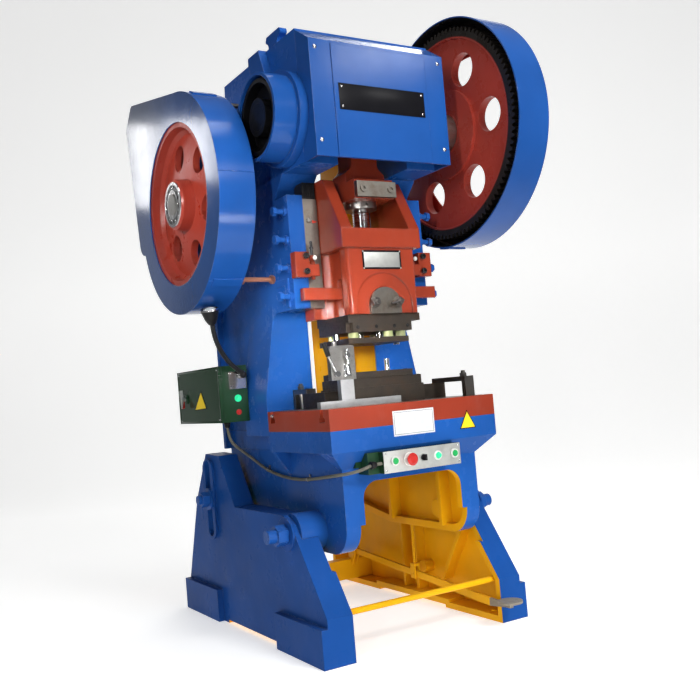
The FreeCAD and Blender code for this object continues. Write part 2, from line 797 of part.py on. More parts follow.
def slide_body():
    side = slide_half
    trunk = plate_z([
        (-side + 8, slide_front, 6), (side - 8, slide_front, 6), (side, slide_front + 14), (side, -60, 30),
        (side - 26, -44, 20), (side - 26, 40, 20), (side, ear_front + slide_gap),
        (side, guide_y - slide_gap), (-side, guide_y - slide_gap), (-side, ear_front + slide_gap),
        (-side + 26, 40, 20), (-side + 26, -44, 20), (-side, -60, 30), (-side, slide_front + 14),
    ], slide_bottom, ledge_top)
    ledge = block((-side, side), (ledge_front, 0), (ledge_bottom, ledge_top))
    ears = block((-ear_half + slide_gap, ear_half - slide_gap), (ear_front + slide_gap, guide_y - slide_gap),
                 (slide_bottom, ledge_top))
    horn = plate_x([
        (ledge_front, ledge_bottom), (ledge_front, ledge_top, 20), (-20, horn_top, 12), (40, horn_top, 12),
        (guide_y - slide_gap, ear_top), (guide_y - slide_gap, ledge_bottom),
    ], horn_inner, horn_outer)
    ear = block((horn_inner, ear_half - slide_gap), (ear_front + slide_gap, guide_y - slide_gap),
                (ledge_bottom, ear_top))
    return join(trunk, ledge, ears, pair(horn), pair(ear))


ball_well = block(
    (-ball_radius - well_margin, ball_radius + well_margin),
    (-ball_radius - well_margin, ball_radius + throw + well_margin),
    (well_floor, ledge_top + 1),
)
bar_slot = block(
    (-ear_half, ear_half), (bar_front - slide_gap, bar_rear + slide_gap),
    (bar_bottom - slide_gap, bar_bottom + bar_height + bar_lift + 1),
)
shank_bore = rod(shank_radius, (0, 0, slide_bottom - 1), (0, 0, bar_bottom - 3))
clamp_pocket = plate_y(clamp_outline(0), slide_front - 20, 0)
arch_relief = rod(122, (0, slide_front - 1, clamp_z), (0, slide_front + 4, clamp_z))
slide = cut(slide_body(), ball_well, bar_slot, clamp_pocket, shank_bore, arch_relief)
save("slide", slide)

shank_clamp = cut(plate_y(clamp_outline(-0.2), slide_front - 6, 0), shank_bore, bar_slot)
studs = []
for x in (-50, 50):
    studs.append(hexagon(24, (x, slide_front - 18, clamp_z + 12), (x, slide_front - 6, clamp_z + 12)))
    studs.append(rod(8, (x, slide_front - 27, clamp_z + 12), (x, slide_front - 6, clamp_z + 12)))
save("shank_clamp", join(shank_clamp, studs))

# ---- knock-out bar through the slide, and the fixed stops above its ends
bar_left = -285.0
bar_right = 305.0
save("knockout_bar", block((bar_left, bar_right), (bar_front, bar_rear),
                           (bar_bottom, bar_bottom + bar_height)))

stop_x = 225.0
stop_bottom = bar_bottom + bar_height + bar_lift + 4
bracket = join(
    block((245, 303), (-10, gib_front), (stop_bottom + 7, stop_bottom + 101)),
    block((205, 245), (-10, gib_front - slide_gap), (stop_bottom + 11, stop_bottom + 55)),
    rod(8, (stop_x, 8, stop_bottom), (stop_x, 8, stop_bottom + 90)),
    hexagon(22, (stop_x, 8, stop_bottom + 55), (stop_x, 8, stop_bottom + 67)),
    rod(11, (262, -16, stop_bottom + 28), (262, -10, stop_bottom + 28)),
    rod(11, (262, -16, stop_bottom + 85), (262, -10, stop_bottom + 85)),
)
save("knockout_brackets", *pair(bracket))

# ---- upper die: shoe, punch plate, punches and guide pillars
shoe_bottom = slide_bottom - upper_shoe_thickness
punch_plate_bottom = shoe_bottom - punch_plate_thickness
stripper_top = punch_plate_bottom - spring_height
stripper_bottom = stripper_top - stripper_thickness
punch_positions = [(-60, -20), (60, -20), (-60, 50), (60, 50), (0, -60)]
spring_positions = [(-120, -70), (20, -85), (88, -70), (-120, 80), (0, 85), (70, 85)]
spring_radius = 19.0
punch_radius = 10.0
pillar_radius = 12.0
pillar_positions = [(-146, 10), (120, 10)]
upper_die = join(
    block((-upper_die_half, upper_die_half), (die_front, guide_y - 2), (shoe_bottom, slide_bottom)),
    block((-upper_die_half + 18, 118), (die_front, guide_y - 12), (punch_plate_bottom, shoe_bottom)),
    rod(shank_radius, (0, 0, slide_bottom), (0, 0, bar_bottom - 3)),
)
upper_die = join(upper_die, block((-upper_die_half, -upper_die_half + 18), (-85, guide_y - 12),
                                  (punch_plate_bottom, shoe_bottom)))
for x, y in punch_positions:
    upper_die = upper_die.fuse(rod(punch_radius, (x, y, stripper_bottom + 4), (x, y, punch_plate_bottom)))
for x, y in pillar_positions:
    upper_die = upper_die.fuse(rod(pillar_radius, (x, y, stripper_bottom - 6), (x, y, punch_plate_bottom)))
save("upper_die", upper_die.removeSplitter())

stripper_plate = block((-upper_die_half - 6, 100), (die_front, guide_y - 20),
                       (stripper_bottom, stripper_top))
guide_holes = []
for x, y in punch_positions:
    guide_holes.append(rod(punch_radius + slide_gap, (x, y, stripper_bottom - 1), (x, y, stripper_top + 1)))
guide_holes.append(rod(pillar_radius + slide_gap,
                       (-146, 10, stripper_bottom - 1), (-146, 10, stripper_top + 1)))
save("stripper_plate", cut(stripper_plate, guide_holes))

springs = []
for x, y in spring_positions:
    springs.append(tube(spring_radius, 7, (x, y, stripper_top), (x, y, punch_plate_bottom)))
save("stripper_springs", *springs)

# ---- lower die on the bolster
die_plate_top = die_top - 23
base_top = bolster_top + 64
foot_height = bolster_top + 57
lower_die = join(
    block((-170, 150), (die_front, die_rear), (bolster_top, base_top)),
    block((-164, 144), (die_front + 4, die_rear - 4), (base_top, die_plate_top)),
    block((-159, 105), (die_front, die_rear - 10), (die_plate_top, die_top)),
    block((-250, 290), (-50, die_rear), (bolster_top, foot_height)),
    rod(10, (130, 104, die_plate_top), (130, 104, die_top + 50)),
    rod(6, (70, 35, die_top), (70, 35, die_top + 3)),
)
die_openings = []
for x, y in punch_positions:
    die_openings.append(rod(punch_radius + 0.3, (x, y, bolster_top + 20), (x, y, die_top + 1)))
pillar_x, pillar_y = pillar_positions[1]
die_openings.append(rod(pillar_radius + 0.5,
                        (pillar_x, pillar_y, bolster_top + 20), (pillar_x, pillar_y, die_top + 1)))
die_openings.append(rod(pillar_radius + 0.5, (-146, 10, bolster_top + 20), (-146, 10, die_top + 1)))
save("lower_die", cut(lower_die, die_openings))

# A strap clamp on each free end of the die base, its bolt rising out of a T-slot.
clamps = []
for x, bolt_y, tip, heel in ((-225, tee_slot_rear, 95, 205), (262, tee_slot_front, -32, -240)):
    back = -15 if tip > heel else 15
    strap = plate_x([
        (tip, foot_height), (tip, foot_height + 18), (heel, foot_height + 18), (heel, bolster_top),
        (heel - back, bolster_top), (heel - back, foot_height),
    ], x - 20, x + 20)
    bolt = join(rod(8, (x, bolt_y, bolster_top - 28), (x, bolt_y, foot_height + 40)),
                hexagon(24, (x, bolt_y, foot_height + 18), (x, bolt_y, foot_height + 31)),
                block((x - 16, x + 16), (bolt_y - 16, bolt_y + 16), (bolster_top - 40, bolster_top - 28)))
    clamps.append(join(strap, bolt))
save("die_clamps", *clamps)

# ---- positioning fixture at the front left of the die, with its hand lever
post_front = -134.0
post_rear = -110.0
lever_pivot_x = -244.0
lever_pivot_z = bolster_top + 118
clamp_bottom = bolster_top + 96
clamp_notch = bolster_top + 152
clamp_head = bolster_top + 218
grip_bottom = bolster_top + 182
fixture = join(
    block((-228, -174), (post_front, post_rear), (bolster_top, clamp_bottom)),
    block((-262, -162), (post_front, post_rear), (clamp_bottom, clamp_notch)),
    plate_y([(-262, clamp_notch), (-262, clamp_head, 8), (-162, clamp_head, 8), (-162, clamp_notch)],
            post_front, post_rear),
    rod(9, (-236, -122, clamp_head), (-236, -122, clamp_head + 14)),
)
fixture = join(fixture, rod(7, (-200, post_front - 10, grip_bottom), (-200, post_front, grip_bottom)))
fixture = cut(fixture, rod(6 + running_gap, (lever_pivot_x, post_front - 1, lever_pivot_z),
                           (lever_pivot_x, post_rear + 1, lever_pivot_z)))
save("fixture_bracket", fixture)
lever_y = post_front - 8
fixture_lever = join(
    rod(6, (lever_pivot_x, lever_y - 6, lever_pivot_z), (lever_pivot_x, post_rear, lever_pivot_z)),
    rod(11, (lever_pivot_x, lever_y - 6, lever_pivot_z), (lever_pivot_x, lever_y + 6, lever_pivot_z)),
    rod(4.5, (lever_pivot_x, lever_y, lever_pivot_z), (-274, lever_y, grip_bottom)),
    rod(9, (-274, lever_y, grip_bottom), (-290, lever_y, grip_bottom + 48)),
)
save("fixture_lever", fixture_lever)

rail = block((-330, 5), (-160, -135), (bolster_top, bolster_top + 24))
save("front_rail", rail)


# ---- gear pair on the right: true involute pinion, and a large gear whose flanks are chords
def involute(angle_radius, base):
    ratio = math.sqrt(max((angle_radius / base) ** 2 - 1, 0))
    return ratio - math.atan(ratio)


def toothed(teeth, radii, phase, centre, low, high, play):
    pitch = module * teeth / 2
    base = pitch * math.cos(math.radians(20))
    half_at_pitch = (math.pi * module / 2 - play) / 2 / pitch
    reference = involute(pitch, base)
    points = []
    for tooth in range(teeth):
        middle = phase + 2 * math.pi * tooth / teeth
        left = []
        right = []
        for radius in radii:
            spread = half_at_pitch + reference - involute(max(radius, base), base)
            left.append((radius, middle - spread))
            right.append((radius, middle + spread))
        points.extend(left + right[::-1])
    corners = [(centre[0] + radius * math.cos(angle), centre[1] + radius * math.sin(angle))
               for radius, angle in points]
    return plate_x(corners, low, high)


dedendum = 1.2 * module
backlash = 0.8
mesh_angle = math.atan2(shaft_z - crank_height, shaft_y)
gear_low = gear_face_x
gear_high = gear_face_x + gear_width
gear_root = gear_pitch - dedendum
pinion_root = pinion_pitch - dedendum
pinion_tip = pinion_pitch + addendum
gear_ring = toothed(gear_teeth, [gear_root, gear_tip], mesh_angle,
                    (0, crank_height), gear_low, gear_high, backlash)
web_left = gear_low + 15
web_right = gear_low + 50
rim_inner = gear_root - 28
hub_disc = 180.0
gear_holes = []
for step in range(6):
    angle = math.radians(60 * step - 2)
    y = 262 * math.cos(angle)
    z = crank_height + 262 * math.sin(angle)
    gear_holes.append(rod(66, (gear_low - 20, y, z), (gear_high + 20, y, z)))
near_recess = tube(rim_inner, hub_disc, (gear_low - 1, 0, crank_height), (web_left, 0, crank_height))
far_recess = tube(rim_inner, 110, (web_right, 0, crank_height), (gear_high + 1, 0, crank_height))
gear_hub = rod(85, (gear_hub_left, 0, crank_height), (gear_hub_right, 0, crank_height))
gear_bore = rod(shaft_end_radius + running_gap,
                (gear_low - 20, 0, crank_height), (gear_high + 20, 0, crank_height))
save("bull_gear", cut(join(gear_ring, gear_hub), near_recess, far_recess, gear_holes, gear_bore))

pinion_radii = [pinion_root, pinion_pitch - 3, pinion_pitch + 2, pinion_tip]
pinion_phase = mesh_angle + math.pi + math.pi / pinion_teeth
pinion = toothed(pinion_teeth, pinion_radii, pinion_phase, (shaft_y, shaft_z), gear_low, gear_high, backlash)
pinion_hub = rod(pinion_root - 4, (column_outer + 20, shaft_y, shaft_z), (gear_high + 8, shaft_y, shaft_z))
pinion = join(pinion, pinion_hub)
save("pinion", cut(pinion, rod(counter_radius, (0, shaft_y, shaft_z), (gear_high + 20, shaft_y, shaft_z))))

flywheel_hub_left = flywheel_left - 18
countershaft = join(
    rod(counter_radius, (flywheel_hub_left - 8, shaft_y, shaft_z), (gear_high + 8, shaft_y, shaft_z)),
    rod(counter_radius + 12, (gear_high + 8, shaft_y, shaft_z), (gear_high + 18, shaft_y, shaft_z)),
    hexagon(70, (flywheel_hub_left - 8, shaft_y, shaft_z), (flywheel_hub_left, shaft_y, shaft_z)),
)
save("countershaft", countershaft)

# ---- flywheel: grooved rim, dished web with six holes and a long hub
flywheel_right = flywheel_left + flywheel_width
groove_centres = [(flywheel_left + flywheel_right) / 2 + belt_pitch * (step - (belt_count - 1) / 2)
                  for step in range(belt_count)]


def grooved(radius):
    points = []
    for centre in groove_centres:
        points.append((centre - belt_width / 2 - 1, radius))
        points.append((centre - belt_width / 2 + 3, radius - groove_depth))
        points.append((centre + belt_width / 2 - 3, radius - groove_depth))
        points.append((centre + belt_width / 2 + 1, radius))
    return points


wheel_rim_inner = flywheel_radius - 55
flywheel = turned(
    [(flywheel_hub_left, counter_radius), (flywheel_hub_left, 90), (flywheel_hub_left + 8, 97),
     (flywheel_left + 34, 101), (flywheel_left + 46, wheel_rim_inner - 14),
     (flywheel_left + 30, wheel_rim_inner), (flywheel_left, wheel_rim_inner + 6),
     (flywheel_left, flywheel_radius)]
    + grooved(flywheel_radius)
    + [(flywheel_right, flywheel_radius), (flywheel_right, wheel_rim_inner),
       (flywheel_left + 74, wheel_rim_inner),
       (flywheel_left + 62, 101), (flywheel_right - 10, 97), (flywheel_right - 10, counter_radius)],
    shaft_y, shaft_z)
wheel_holes = []
for step in range(6):
    angle = math.radians(60 * step + 15)
    y = shaft_y + 205 * math.cos(angle)
    z = shaft_z + 205 * math.sin(angle)
    wheel_holes.append(rod(52, (flywheel_left - 20, y, z), (flywheel_right + 20, y, z)))
save("flywheel", cut(flywheel, wheel_holes))

pulley_left = groove_centres[0] - belt_width / 2 - 8
pulley_right = groove_centres[-1] + belt_width / 2 + 8
motor_shaft_radius = 19.0
motor_left = wheel_cover_right + 18
pulley = turned(
    [(pulley_left, 0.001), (pulley_left, motor_pulley_radius)] + grooved(motor_pulley_radius)
    + [(pulley_right, motor_pulley_radius), (pulley_right, motor_shaft_radius),
       (motor_left + 40, motor_shaft_radius), (motor_left + 40, 0.001)],
    motor_y, motor_z)
save("motor_pulley", pulley)


# One belt: the band between two pairs of circles joined by their outer tangents.
def belt_face(near_radius, far_radius, level):
    across = Vector(0, motor_y - shaft_y, motor_z - shaft_z)
    spacing = across.Length
    heading = math.atan2(across.z, across.y)
    lean = math.acos((near_radius - far_radius) / spacing)
    marks = []
    for centre, radius in (((shaft_y, shaft_z), near_radius), ((motor_y, motor_z), far_radius)):
        for side in (1, -1):
            angle = heading + side * lean
            across = centre[0] + radius * math.cos(angle)
            marks.append(Vector(level, across, centre[1] + radius * math.sin(angle)))
    near_back = Vector(level, shaft_y - near_radius * math.cos(heading),
                       shaft_z - near_radius * math.sin(heading))
    far_front = Vector(level, motor_y + far_radius * math.cos(heading),
                       motor_z + far_radius * math.sin(heading))
    wire = Part.Wire([
        Part.makeLine(marks[0], marks[2]), Part.Arc(marks[2], far_front, marks[3]).toShape(),
        Part.makeLine(marks[3], marks[1]), Part.Arc(marks[1], near_back, marks[0]).toShape(),
    ])
    return Part.Face(wire)


belts = []
for centre in groove_centres:
    low = centre - belt_width / 2 + 3.5
    width = belt_width - 7
    outside = belt_face(flywheel_radius - 2, motor_pulley_radius - 2, low)
    inside = belt_face(flywheel_radius - 2 - belt_thickness, motor_pulley_radius - 2 - belt_thickness, low)
    belts.append(outside.cut(inside).extrude(x_axis * width))
save("drive_belts", *belts)

motor_right = motor_left + 350
cooling_fins = []
for step in range(12):
    fin = block((motor_left + 50, motor_right - 80), (motor_radius - 16, motor_radius), (-3, 3))
    fin.rotate(Vector(0, 0, 0), x_axis, 15 + 30 * step)
    fin.translate(Vector(0, motor_y, motor_z))
    cooling_fins.append(fin)
foot_top = motor_z - motor_radius
motor_base_top = foot_top - 14
motor = join(
    rod(motor_radius - 12, (motor_left, motor_y, motor_z), (motor_right, motor_y, motor_z)),
    rod(motor_radius, (motor_left, motor_y, motor_z), (motor_left + 40, motor_y, motor_z)),
    rod(motor_radius - 3, (motor_right - 70, motor_y, motor_z), (motor_right, motor_y, motor_z)),
    cooling_fins,
    block((motor_left + 60, motor_right - 90), (motor_y - 100, motor_y + 100),
          (motor_base_top, foot_top + 22)),
    block((motor_left + 130, motor_left + 230), (motor_y + 90, motor_y + 150), (motor_z - 50, motor_z + 50)),
)
motor = cut(motor, rod(motor_shaft_radius + running_gap, (motor_left - 1, motor_y, motor_z),
                       (motor_left + 41, motor_y, motor_z)))
save("motor", motor)

base_low = motor_base_top - 16
bracket_plates = []
for x in (motor_left + 80, motor_right - 130):
    top_front = (back_edge(base_low), base_low)
    bottom_front = (back_edge(base_low - 165), base_low - 165)
    bend = (shoulder_y, shoulder_z)
    bracket_plates.append(plate_x([top_front, bend, bottom_front, (motor_y - 60, base_low - 70),
                                   (motor_y + 110, base_low - 30), (motor_y + 110, base_low)], x, x + 18))
base_plate = block((motor_left + 50, motor_right - 80), (back_edge(base_low) + 6, motor_y + 120),
                   (base_low, motor_base_top))
save("motor_base", join(base_plate, bracket_plates))


# ---- guards: gear cover on the right, flywheel and belt cover on the left
def cover_lobe(centre_y, centre_z, radius, low, high):
    return rod(radius, (low, centre_y, centre_z), (high, centre_y, centre_z))


def gear_cover_body(shrink, low, high):
    ring = cover_lobe(0, crank_height, gear_cover_radius - shrink, low, high)
    lobe = cover_lobe(shaft_y, shaft_z, pinion_tip + 30 - shrink, low, high)
    return ring.fuse(lobe)


inner_face = gear_cover_right - gear_cover_wall
gear_cover = cut(
    gear_cover_body(0, gear_cover_left, gear_cover_right),
    gear_cover_body(gear_cover_wall, gear_cover_left - 1, inner_face),
    rod(gear_cover_opening, (gear_cover_left, 0, crank_height), (gear_cover_right + 1, 0, crank_height)),
)
arms = []
for angle, wall in ((31, head_outer), (-43, column_outer)):
    arm = block((wall, gear_cover_right), (gear_cover_radius - 2, gear_cover_radius + 12), (-32, 32))
    arm = arm.fuse(block((wall, wall + 12), (gear_cover_radius - 40, gear_cover_radius + 30), (-32, 32)))
    arm.rotate(Vector(0, 0, 0), x_axis, angle)
    arm.translate(Vector(0, 0, crank_height))
    arms.append(arm)
arms = cut(join(arms), gear_cover_body(gear_cover_wall / 2, gear_cover_left - 1, inner_face))
save("gear_cover", join(gear_cover, arms))


def wheel_cover_body(shrink, low, high):
    drum = rod(wheel_cover_radius - shrink, (low, shaft_y, shaft_z), (high, shaft_y, shaft_z))
    upper = plate_x([
        (motor_y - 470 + shrink * 0.3, motor_z + 46 - shrink), (motor_y + 80, motor_z + 166 - shrink, 30),
        (motor_y + 167 - shrink, motor_z + 80, 30), (motor_y + 75 - shrink, motor_z - 550, 60),
        (motor_y - 190, motor_z - 350),
    ], low, high)
    return drum.fuse(upper)


wheel_inner_face = wheel_cover_left + wheel_cover_wall
far_plate = wheel_cover_right - wheel_cover_wall
wheel_cover = cut(
    wheel_cover_body(0, wheel_cover_left, wheel_cover_right),
    wheel_cover_body(wheel_cover_wall, wheel_inner_face, far_plate),
    rod(wheel_cover_opening, (wheel_cover_left - 1, shaft_y, shaft_z),
        (wheel_inner_face + 1, shaft_y, shaft_z)),
    rod(130, (far_plate - 1, shaft_y, shaft_z), (wheel_cover_right + 1, shaft_y, shaft_z)),
    rod(45, (far_plate - 1, motor_y, motor_z), (wheel_cover_right + 1, motor_y, motor_z)),
)
save("flywheel_cover", wheel_cover)

stay_radius = 9.0
stays = []
for y, z, wall in ((262, crank_height + 129, head_outer), (188, crank_height - 561, column_outer)):
    stays.append(join(
        rod(stay_radius, (wheel_cover_right, y, z), (-wall, y, z)),
        hexagon(30, (wheel_cover_right, y, z), (wheel_cover_right + 14, y, z)),
        hexagon(30, (-wall - 14, y, z), (-wall, y, z)),
    ))
save("stay_rods", *stays)

# ---- control box under the table's front edge
button_positions = {"start_button_left": -133.0, "start_button_right": 122.0}
stop_x_position = -71.0
selector_x = -13.0
lamp_x = 50.0
face_plate = 2.5
end_front = panel_front + 30
socket_depth = 28.0


def sockets(radius, front, back):
    cuts = []
    for x in list(button_positions.values()) + [stop_x_position, selector_x]:
        cuts.append(rod(radius, (x, front, button_row_z), (x, back, button_row_z)))
    return cuts


socket_radius = button_radius + pass_gap
panel_body = join(
    block((panel_left, panel_right), (panel_front + face_plate, apron_front), (panel_bottom, panel_top)),
    block((panel_left - 45, panel_left), (end_front, apron_front), (panel_bottom, panel_top)),
    block((panel_left - 68, panel_left - 45), (apron_front - 20, apron_front),
          (panel_bottom + 24, panel_top - 4)),
)
panel_body = cut(panel_body, apron_flare(apron_front + apron_thickness),
                 sockets(socket_radius, panel_front, panel_front + socket_depth))
save("control_box", panel_body)

bezels = []
for x in list(button_positions.values()) + [selector_x]:
    bezels.append(rod(button_radius + 5, (x, panel_front - 3, button_row_z), (x, panel_front, button_row_z)))
control_face = join(
    block((panel_left, panel_right), (panel_front, panel_front + face_plate), (panel_bottom, panel_top)),
    bezels)
save("control_face", cut(control_face, sockets(socket_radius, panel_front - 10,
                                               panel_front + face_plate + 1)))

for name, x in button_positions.items():
    save(name, rod(button_radius, (x, panel_front - 9, button_row_z), (x, panel_front + 16, button_row_z)))
mushroom = join(
    rod(button_radius, (stop_x_position, panel_front - 14, button_row_z),
        (stop_x_position, panel_front + 16, button_row_z)),
    cone(22, 15, (stop_x_position, panel_front - 20, button_row_z),
         (stop_x_position, panel_front - 9, button_row_z)),
    cone(14, 22, (stop_x_position, panel_front - 26, button_row_z),
         (stop_x_position, panel_front - 20, button_row_z)),
)
save("stop_button", mushroom)
selector = join(
    rod(button_radius, (selector_x, panel_front - 8, button_row_z),
        (selector_x, panel_front + 16, button_row_z)),
    block((selector_x - 4, selector_x + 4), (panel_front - 20, panel_front - 8),
          (button_row_z - 10.5, button_row_z + 10.5)),
)
save("selector_knob", selector)

box_lamp_z = box_bottom + 92
box_lamp_x = box_inner - 44
lamps = [
    join(rod(14, (lamp_x, panel_front - 4, button_row_z), (lamp_x, panel_front, button_row_z)),
         cone(8, 11, (lamp_x, panel_front - 12, button_row_z), (lamp_x, panel_front - 4, button_row_z))),
    join(rod(14, (box_lamp_x, box_front - 4, box_lamp_z), (box_lamp_x, box_front, box_lamp_z)),
         cone(8, 11, (box_lamp_x, box_front - 13, box_lamp_z), (box_lamp_x, box_front - 4, box_lamp_z))),
]
save("pilot_lamps", *lamps)

# ---- electric box on the left column, with a hinged door and an isolator handle
door_inner = box_outer + door_thickness
hinge_x = box_outer
hinge_pin_y = box_front - 7
knuckle_radius = 6.0
knuckle_pin = 2.5
knuckle_low = box_bottom + 20
knuckle_high = box_top - 50
handle_y = 742.0
handle_z = box_bottom + 104
handle_shaft = 8.0
box_wall = 3.0


def knuckle(z, height, leaf_to):
    barrel = rod(knuckle_radius, (hinge_x, hinge_pin_y, z), (hinge_x, hinge_pin_y, z + height))
    leaf = block((hinge_x, hinge_x + knuckle_radius), (hinge_pin_y, leaf_to), (z, z + height))
    return join(barrel, leaf)


shell = cut(
    block((door_inner + pass_gap, box_inner), (box_front, box_rear), (box_bottom, box_top)),
    block((door_inner, box_inner - box_wall), (box_front + box_wall, box_rear - box_wall),
          (box_bottom + box_wall, box_top - box_wall)),
)
struts = [
    block((box_inner, -column_outer), (y, y + 30), (box_bottom + 20, box_top - 15)) for y in (450, 640)
]
box_knuckles = []
for z in (knuckle_low, knuckle_high):
    leaf = block((hinge_x, door_inner + pass_gap + box_wall), (hinge_pin_y, box_front), (z, z + 14))
    barrel = rod(knuckle_radius, (hinge_x, hinge_pin_y, z), (hinge_x, hinge_pin_y, z + 14))
    pin = rod(knuckle_pin, (hinge_x, hinge_pin_y, z), (hinge_x, hinge_pin_y, z + 28))
    box_knuckles.append(join(leaf, barrel, pin))
save("electric_box", join(shell, struts, box_knuckles))

door = block((box_outer, door_inner), (box_front, box_rear), (box_bottom, box_top))
door_knuckles = []
pin_bores = []
for z in (knuckle_low + 14.3, knuckle_high + 14.3):
    door_knuckles.append(knuckle(z, 14, box_front + 2))
    pin_bores.append(rod(knuckle_pin + running_gap, (hinge_x, hinge_pin_y, z - 1),
                         (hinge_x, hinge_pin_y, z + 15)))
handle_bore = rod(handle_shaft + running_gap,
                  (box_outer - 10, handle_y, handle_z), (door_inner + 1, handle_y, handle_z))
handle_rose = rod(20, (box_outer - 6, handle_y, handle_z), (box_outer, handle_y, handle_z))
save("electric_door", cut(join(door, door_knuckles, handle_rose), pin_bores, handle_bore))

grip = block((box_outer - 26, box_outer - 14), (-8, 8), (-38, 38))
grip.rotate(Vector(0, 0, 0), x_axis, -15)
grip.translate(Vector(0, handle_y, handle_z))
handle = join(grip, rod(handle_shaft, (box_outer - 16, handle_y, handle_z),
                        (door_inner, handle_y, handle_z)))
save("isolator_handle", handle)

# ---- work lamp on a bendable arm
arm_root = Vector(box_inner - 28, box_front - 30, box_top - 39)
arm_radius = 9.0
arm_steps = [
    (0, 0, 6), (-25, -4, 22), (-56, -11, 46), (-84, -20, 79), (-110, -33, 117), (-127, -46, 158),
    (-135, -55, 196),
]
arm_points = [arm_root + Vector(*step) for step in arm_steps]
arm_base = join(
    block((arm_root.x - 53, arm_root.x + 19), (box_front - 12, box_front),
          (arm_root.z - 53, arm_root.z + 15)),
    rod(12, (arm_root.x, box_front - 12, arm_root.z), arm_root),
    Part.makeSphere(14, arm_root),
)
lamp_arm = join(lead("lamp arm", arm_points, arm_radius), arm_base)
save("lamp_arm", lamp_arm)
arm_end = arm_points[-1]
lamp_way = (arm_end - arm_points[-2]).normalize()


def lamp_cone(first, second, start, end):
    return Part.makeCone(first, second, end - start, arm_end + lamp_way * start, lamp_way)


lamp_head = lamp_cone(14, 24, 0, 18).fuse(lamp_cone(24, 36, 18, 58))
save("lamp_head", cut(lamp_head, lamp_cone(21, 33, 24, 58.5)))

# ---- conduit from the electric box to the control box, clipped to the frame
conduit_radius = 6.0
conduit_x = -cheek_outer - 10
gland_x = box_inner - 67
gland_y = box_front + 71
conduit_points = [
    (gland_x, gland_y, box_bottom), (gland_x, gland_y, box_bottom - 48),
    (gland_x + 20, gland_y + 5, box_bottom - 88), (gland_x + 60, gland_y + 16, box_bottom - 118),
    (gland_x + 97, gland_y + 24, box_bottom - 146), (conduit_x - 6, 447, flare_bottom + 10),
    (conduit_x, 400, flare_bottom - 10), (conduit_x - 1, 335, flare_bottom - 24),
    (conduit_x, 260, flare_bottom - 36), (conduit_x, 175, flare_bottom - 43),
    (conduit_x - 1, 90, flare_bottom - 44), (conduit_x - 2, 10, flare_bottom - 39),
    (conduit_x - 5, -70, flare_bottom - 31), (conduit_x - 9, -145, flare_bottom - 22),
    (conduit_x - 6, -200, flare_bottom - 16), (-284, -240, panel_bottom + 12),
    (-250, -266, panel_bottom + 21),
    (panel_left - 38, panel_front + 14, panel_bottom + 35),
    (panel_left, panel_front + 14, panel_bottom + 35),
]
save("conduit", lead("conduit", conduit_points, conduit_radius))

# ---- foot pedal and its pull rod, to the right between the legs
pedal_y = -312.0
pedal_z = 98.0
pull_y = 280.0
pull_bottom = 98.0
pull_top = 560.0
pedal_lever = plate_x([
    (-300, 84), (-300, 72), (-200, 62), (pedal_pivot_y, pedal_pivot_z - 12, 11),
    (pedal_pivot_y + 14, pedal_pivot_z, 11), (pedal_pivot_y, pedal_pivot_z + 13, 11), (-200, 92),
], pedal_x - lever_half, pedal_x + lever_half)
pedal_shape = join(
    pedal_lever,
    rod(45, (pedal_x, pedal_y, pedal_z - 8), (pedal_x, pedal_y, pedal_z)),
    block((pedal_x - 8, pedal_x + 8), (-318, -295), (72, pedal_z - 8)),
    rod(pedal_pin_radius, (pedal_x - 18, pedal_pivot_y, pedal_pivot_z),
        (pedal_x + 18, pedal_pivot_y, pedal_pivot_z)),
    rod(6, (pedal_x - 16, pull_y, 114), (pedal_x + 16, pull_y, 114)),
)
save("foot_pedal", pedal_shape)
fork = [
    block((pedal_x - 14, pedal_x - 7), (pull_y - 14, pull_y + 17), (pull_bottom, 150)),
    block((pedal_x + 7, pedal_x + 14), (pull_y - 14, pull_y + 17), (pull_bottom, 150)),
    block((pedal_x - 14, pedal_x + 14), (pull_y - 14, pull_y + 17), (150, 160)),
]
pull_rod = join(fork, rod(6, (pedal_x, pull_y, 160), (pedal_x, pull_y, pull_top)))
pin_slot = plate_x([(pull_y - 6.5, 107.5, 6.4), (pull_y + 10.5, 107.5, 6.4), (pull_y + 10.5, 120.5, 6.4),
                    (pull_y - 6.5, 120.5, 6.4)], pedal_x - 20, pedal_x + 20)
save("pull_rod", cut(pull_rod, pin_slot))
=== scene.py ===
import bmesh
import bpy
import math
from mathutils import Matrix, Vector


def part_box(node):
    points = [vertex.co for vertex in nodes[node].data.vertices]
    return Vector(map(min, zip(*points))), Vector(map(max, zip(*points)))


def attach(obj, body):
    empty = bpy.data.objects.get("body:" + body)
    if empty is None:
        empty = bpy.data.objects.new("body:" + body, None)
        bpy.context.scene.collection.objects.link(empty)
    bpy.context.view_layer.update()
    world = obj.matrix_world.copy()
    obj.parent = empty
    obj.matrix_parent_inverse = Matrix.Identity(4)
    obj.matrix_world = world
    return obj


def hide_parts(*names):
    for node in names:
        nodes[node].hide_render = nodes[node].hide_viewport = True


# Open-back inclinable stamping press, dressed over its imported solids. Metres throughout.
# X runs across the press, Y towards its rear and Z up; the origin is between the four floor bolts.

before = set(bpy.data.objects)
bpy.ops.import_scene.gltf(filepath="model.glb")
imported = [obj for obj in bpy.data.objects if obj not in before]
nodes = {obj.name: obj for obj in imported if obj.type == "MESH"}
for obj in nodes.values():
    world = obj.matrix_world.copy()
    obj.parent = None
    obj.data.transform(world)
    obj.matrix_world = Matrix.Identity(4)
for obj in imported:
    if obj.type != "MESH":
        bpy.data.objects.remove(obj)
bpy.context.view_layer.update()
scene = bpy.context.scene
print("frame loaded", len(nodes))


# Where a node of the frame ends on each side, and where its middle is.
def leftOf(node):
    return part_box(node)[0].x


def rightOf(node):
    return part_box(node)[1].x


def frontOf(node):
    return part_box(node)[0].y


def rearOf(node):
    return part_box(node)[1].y


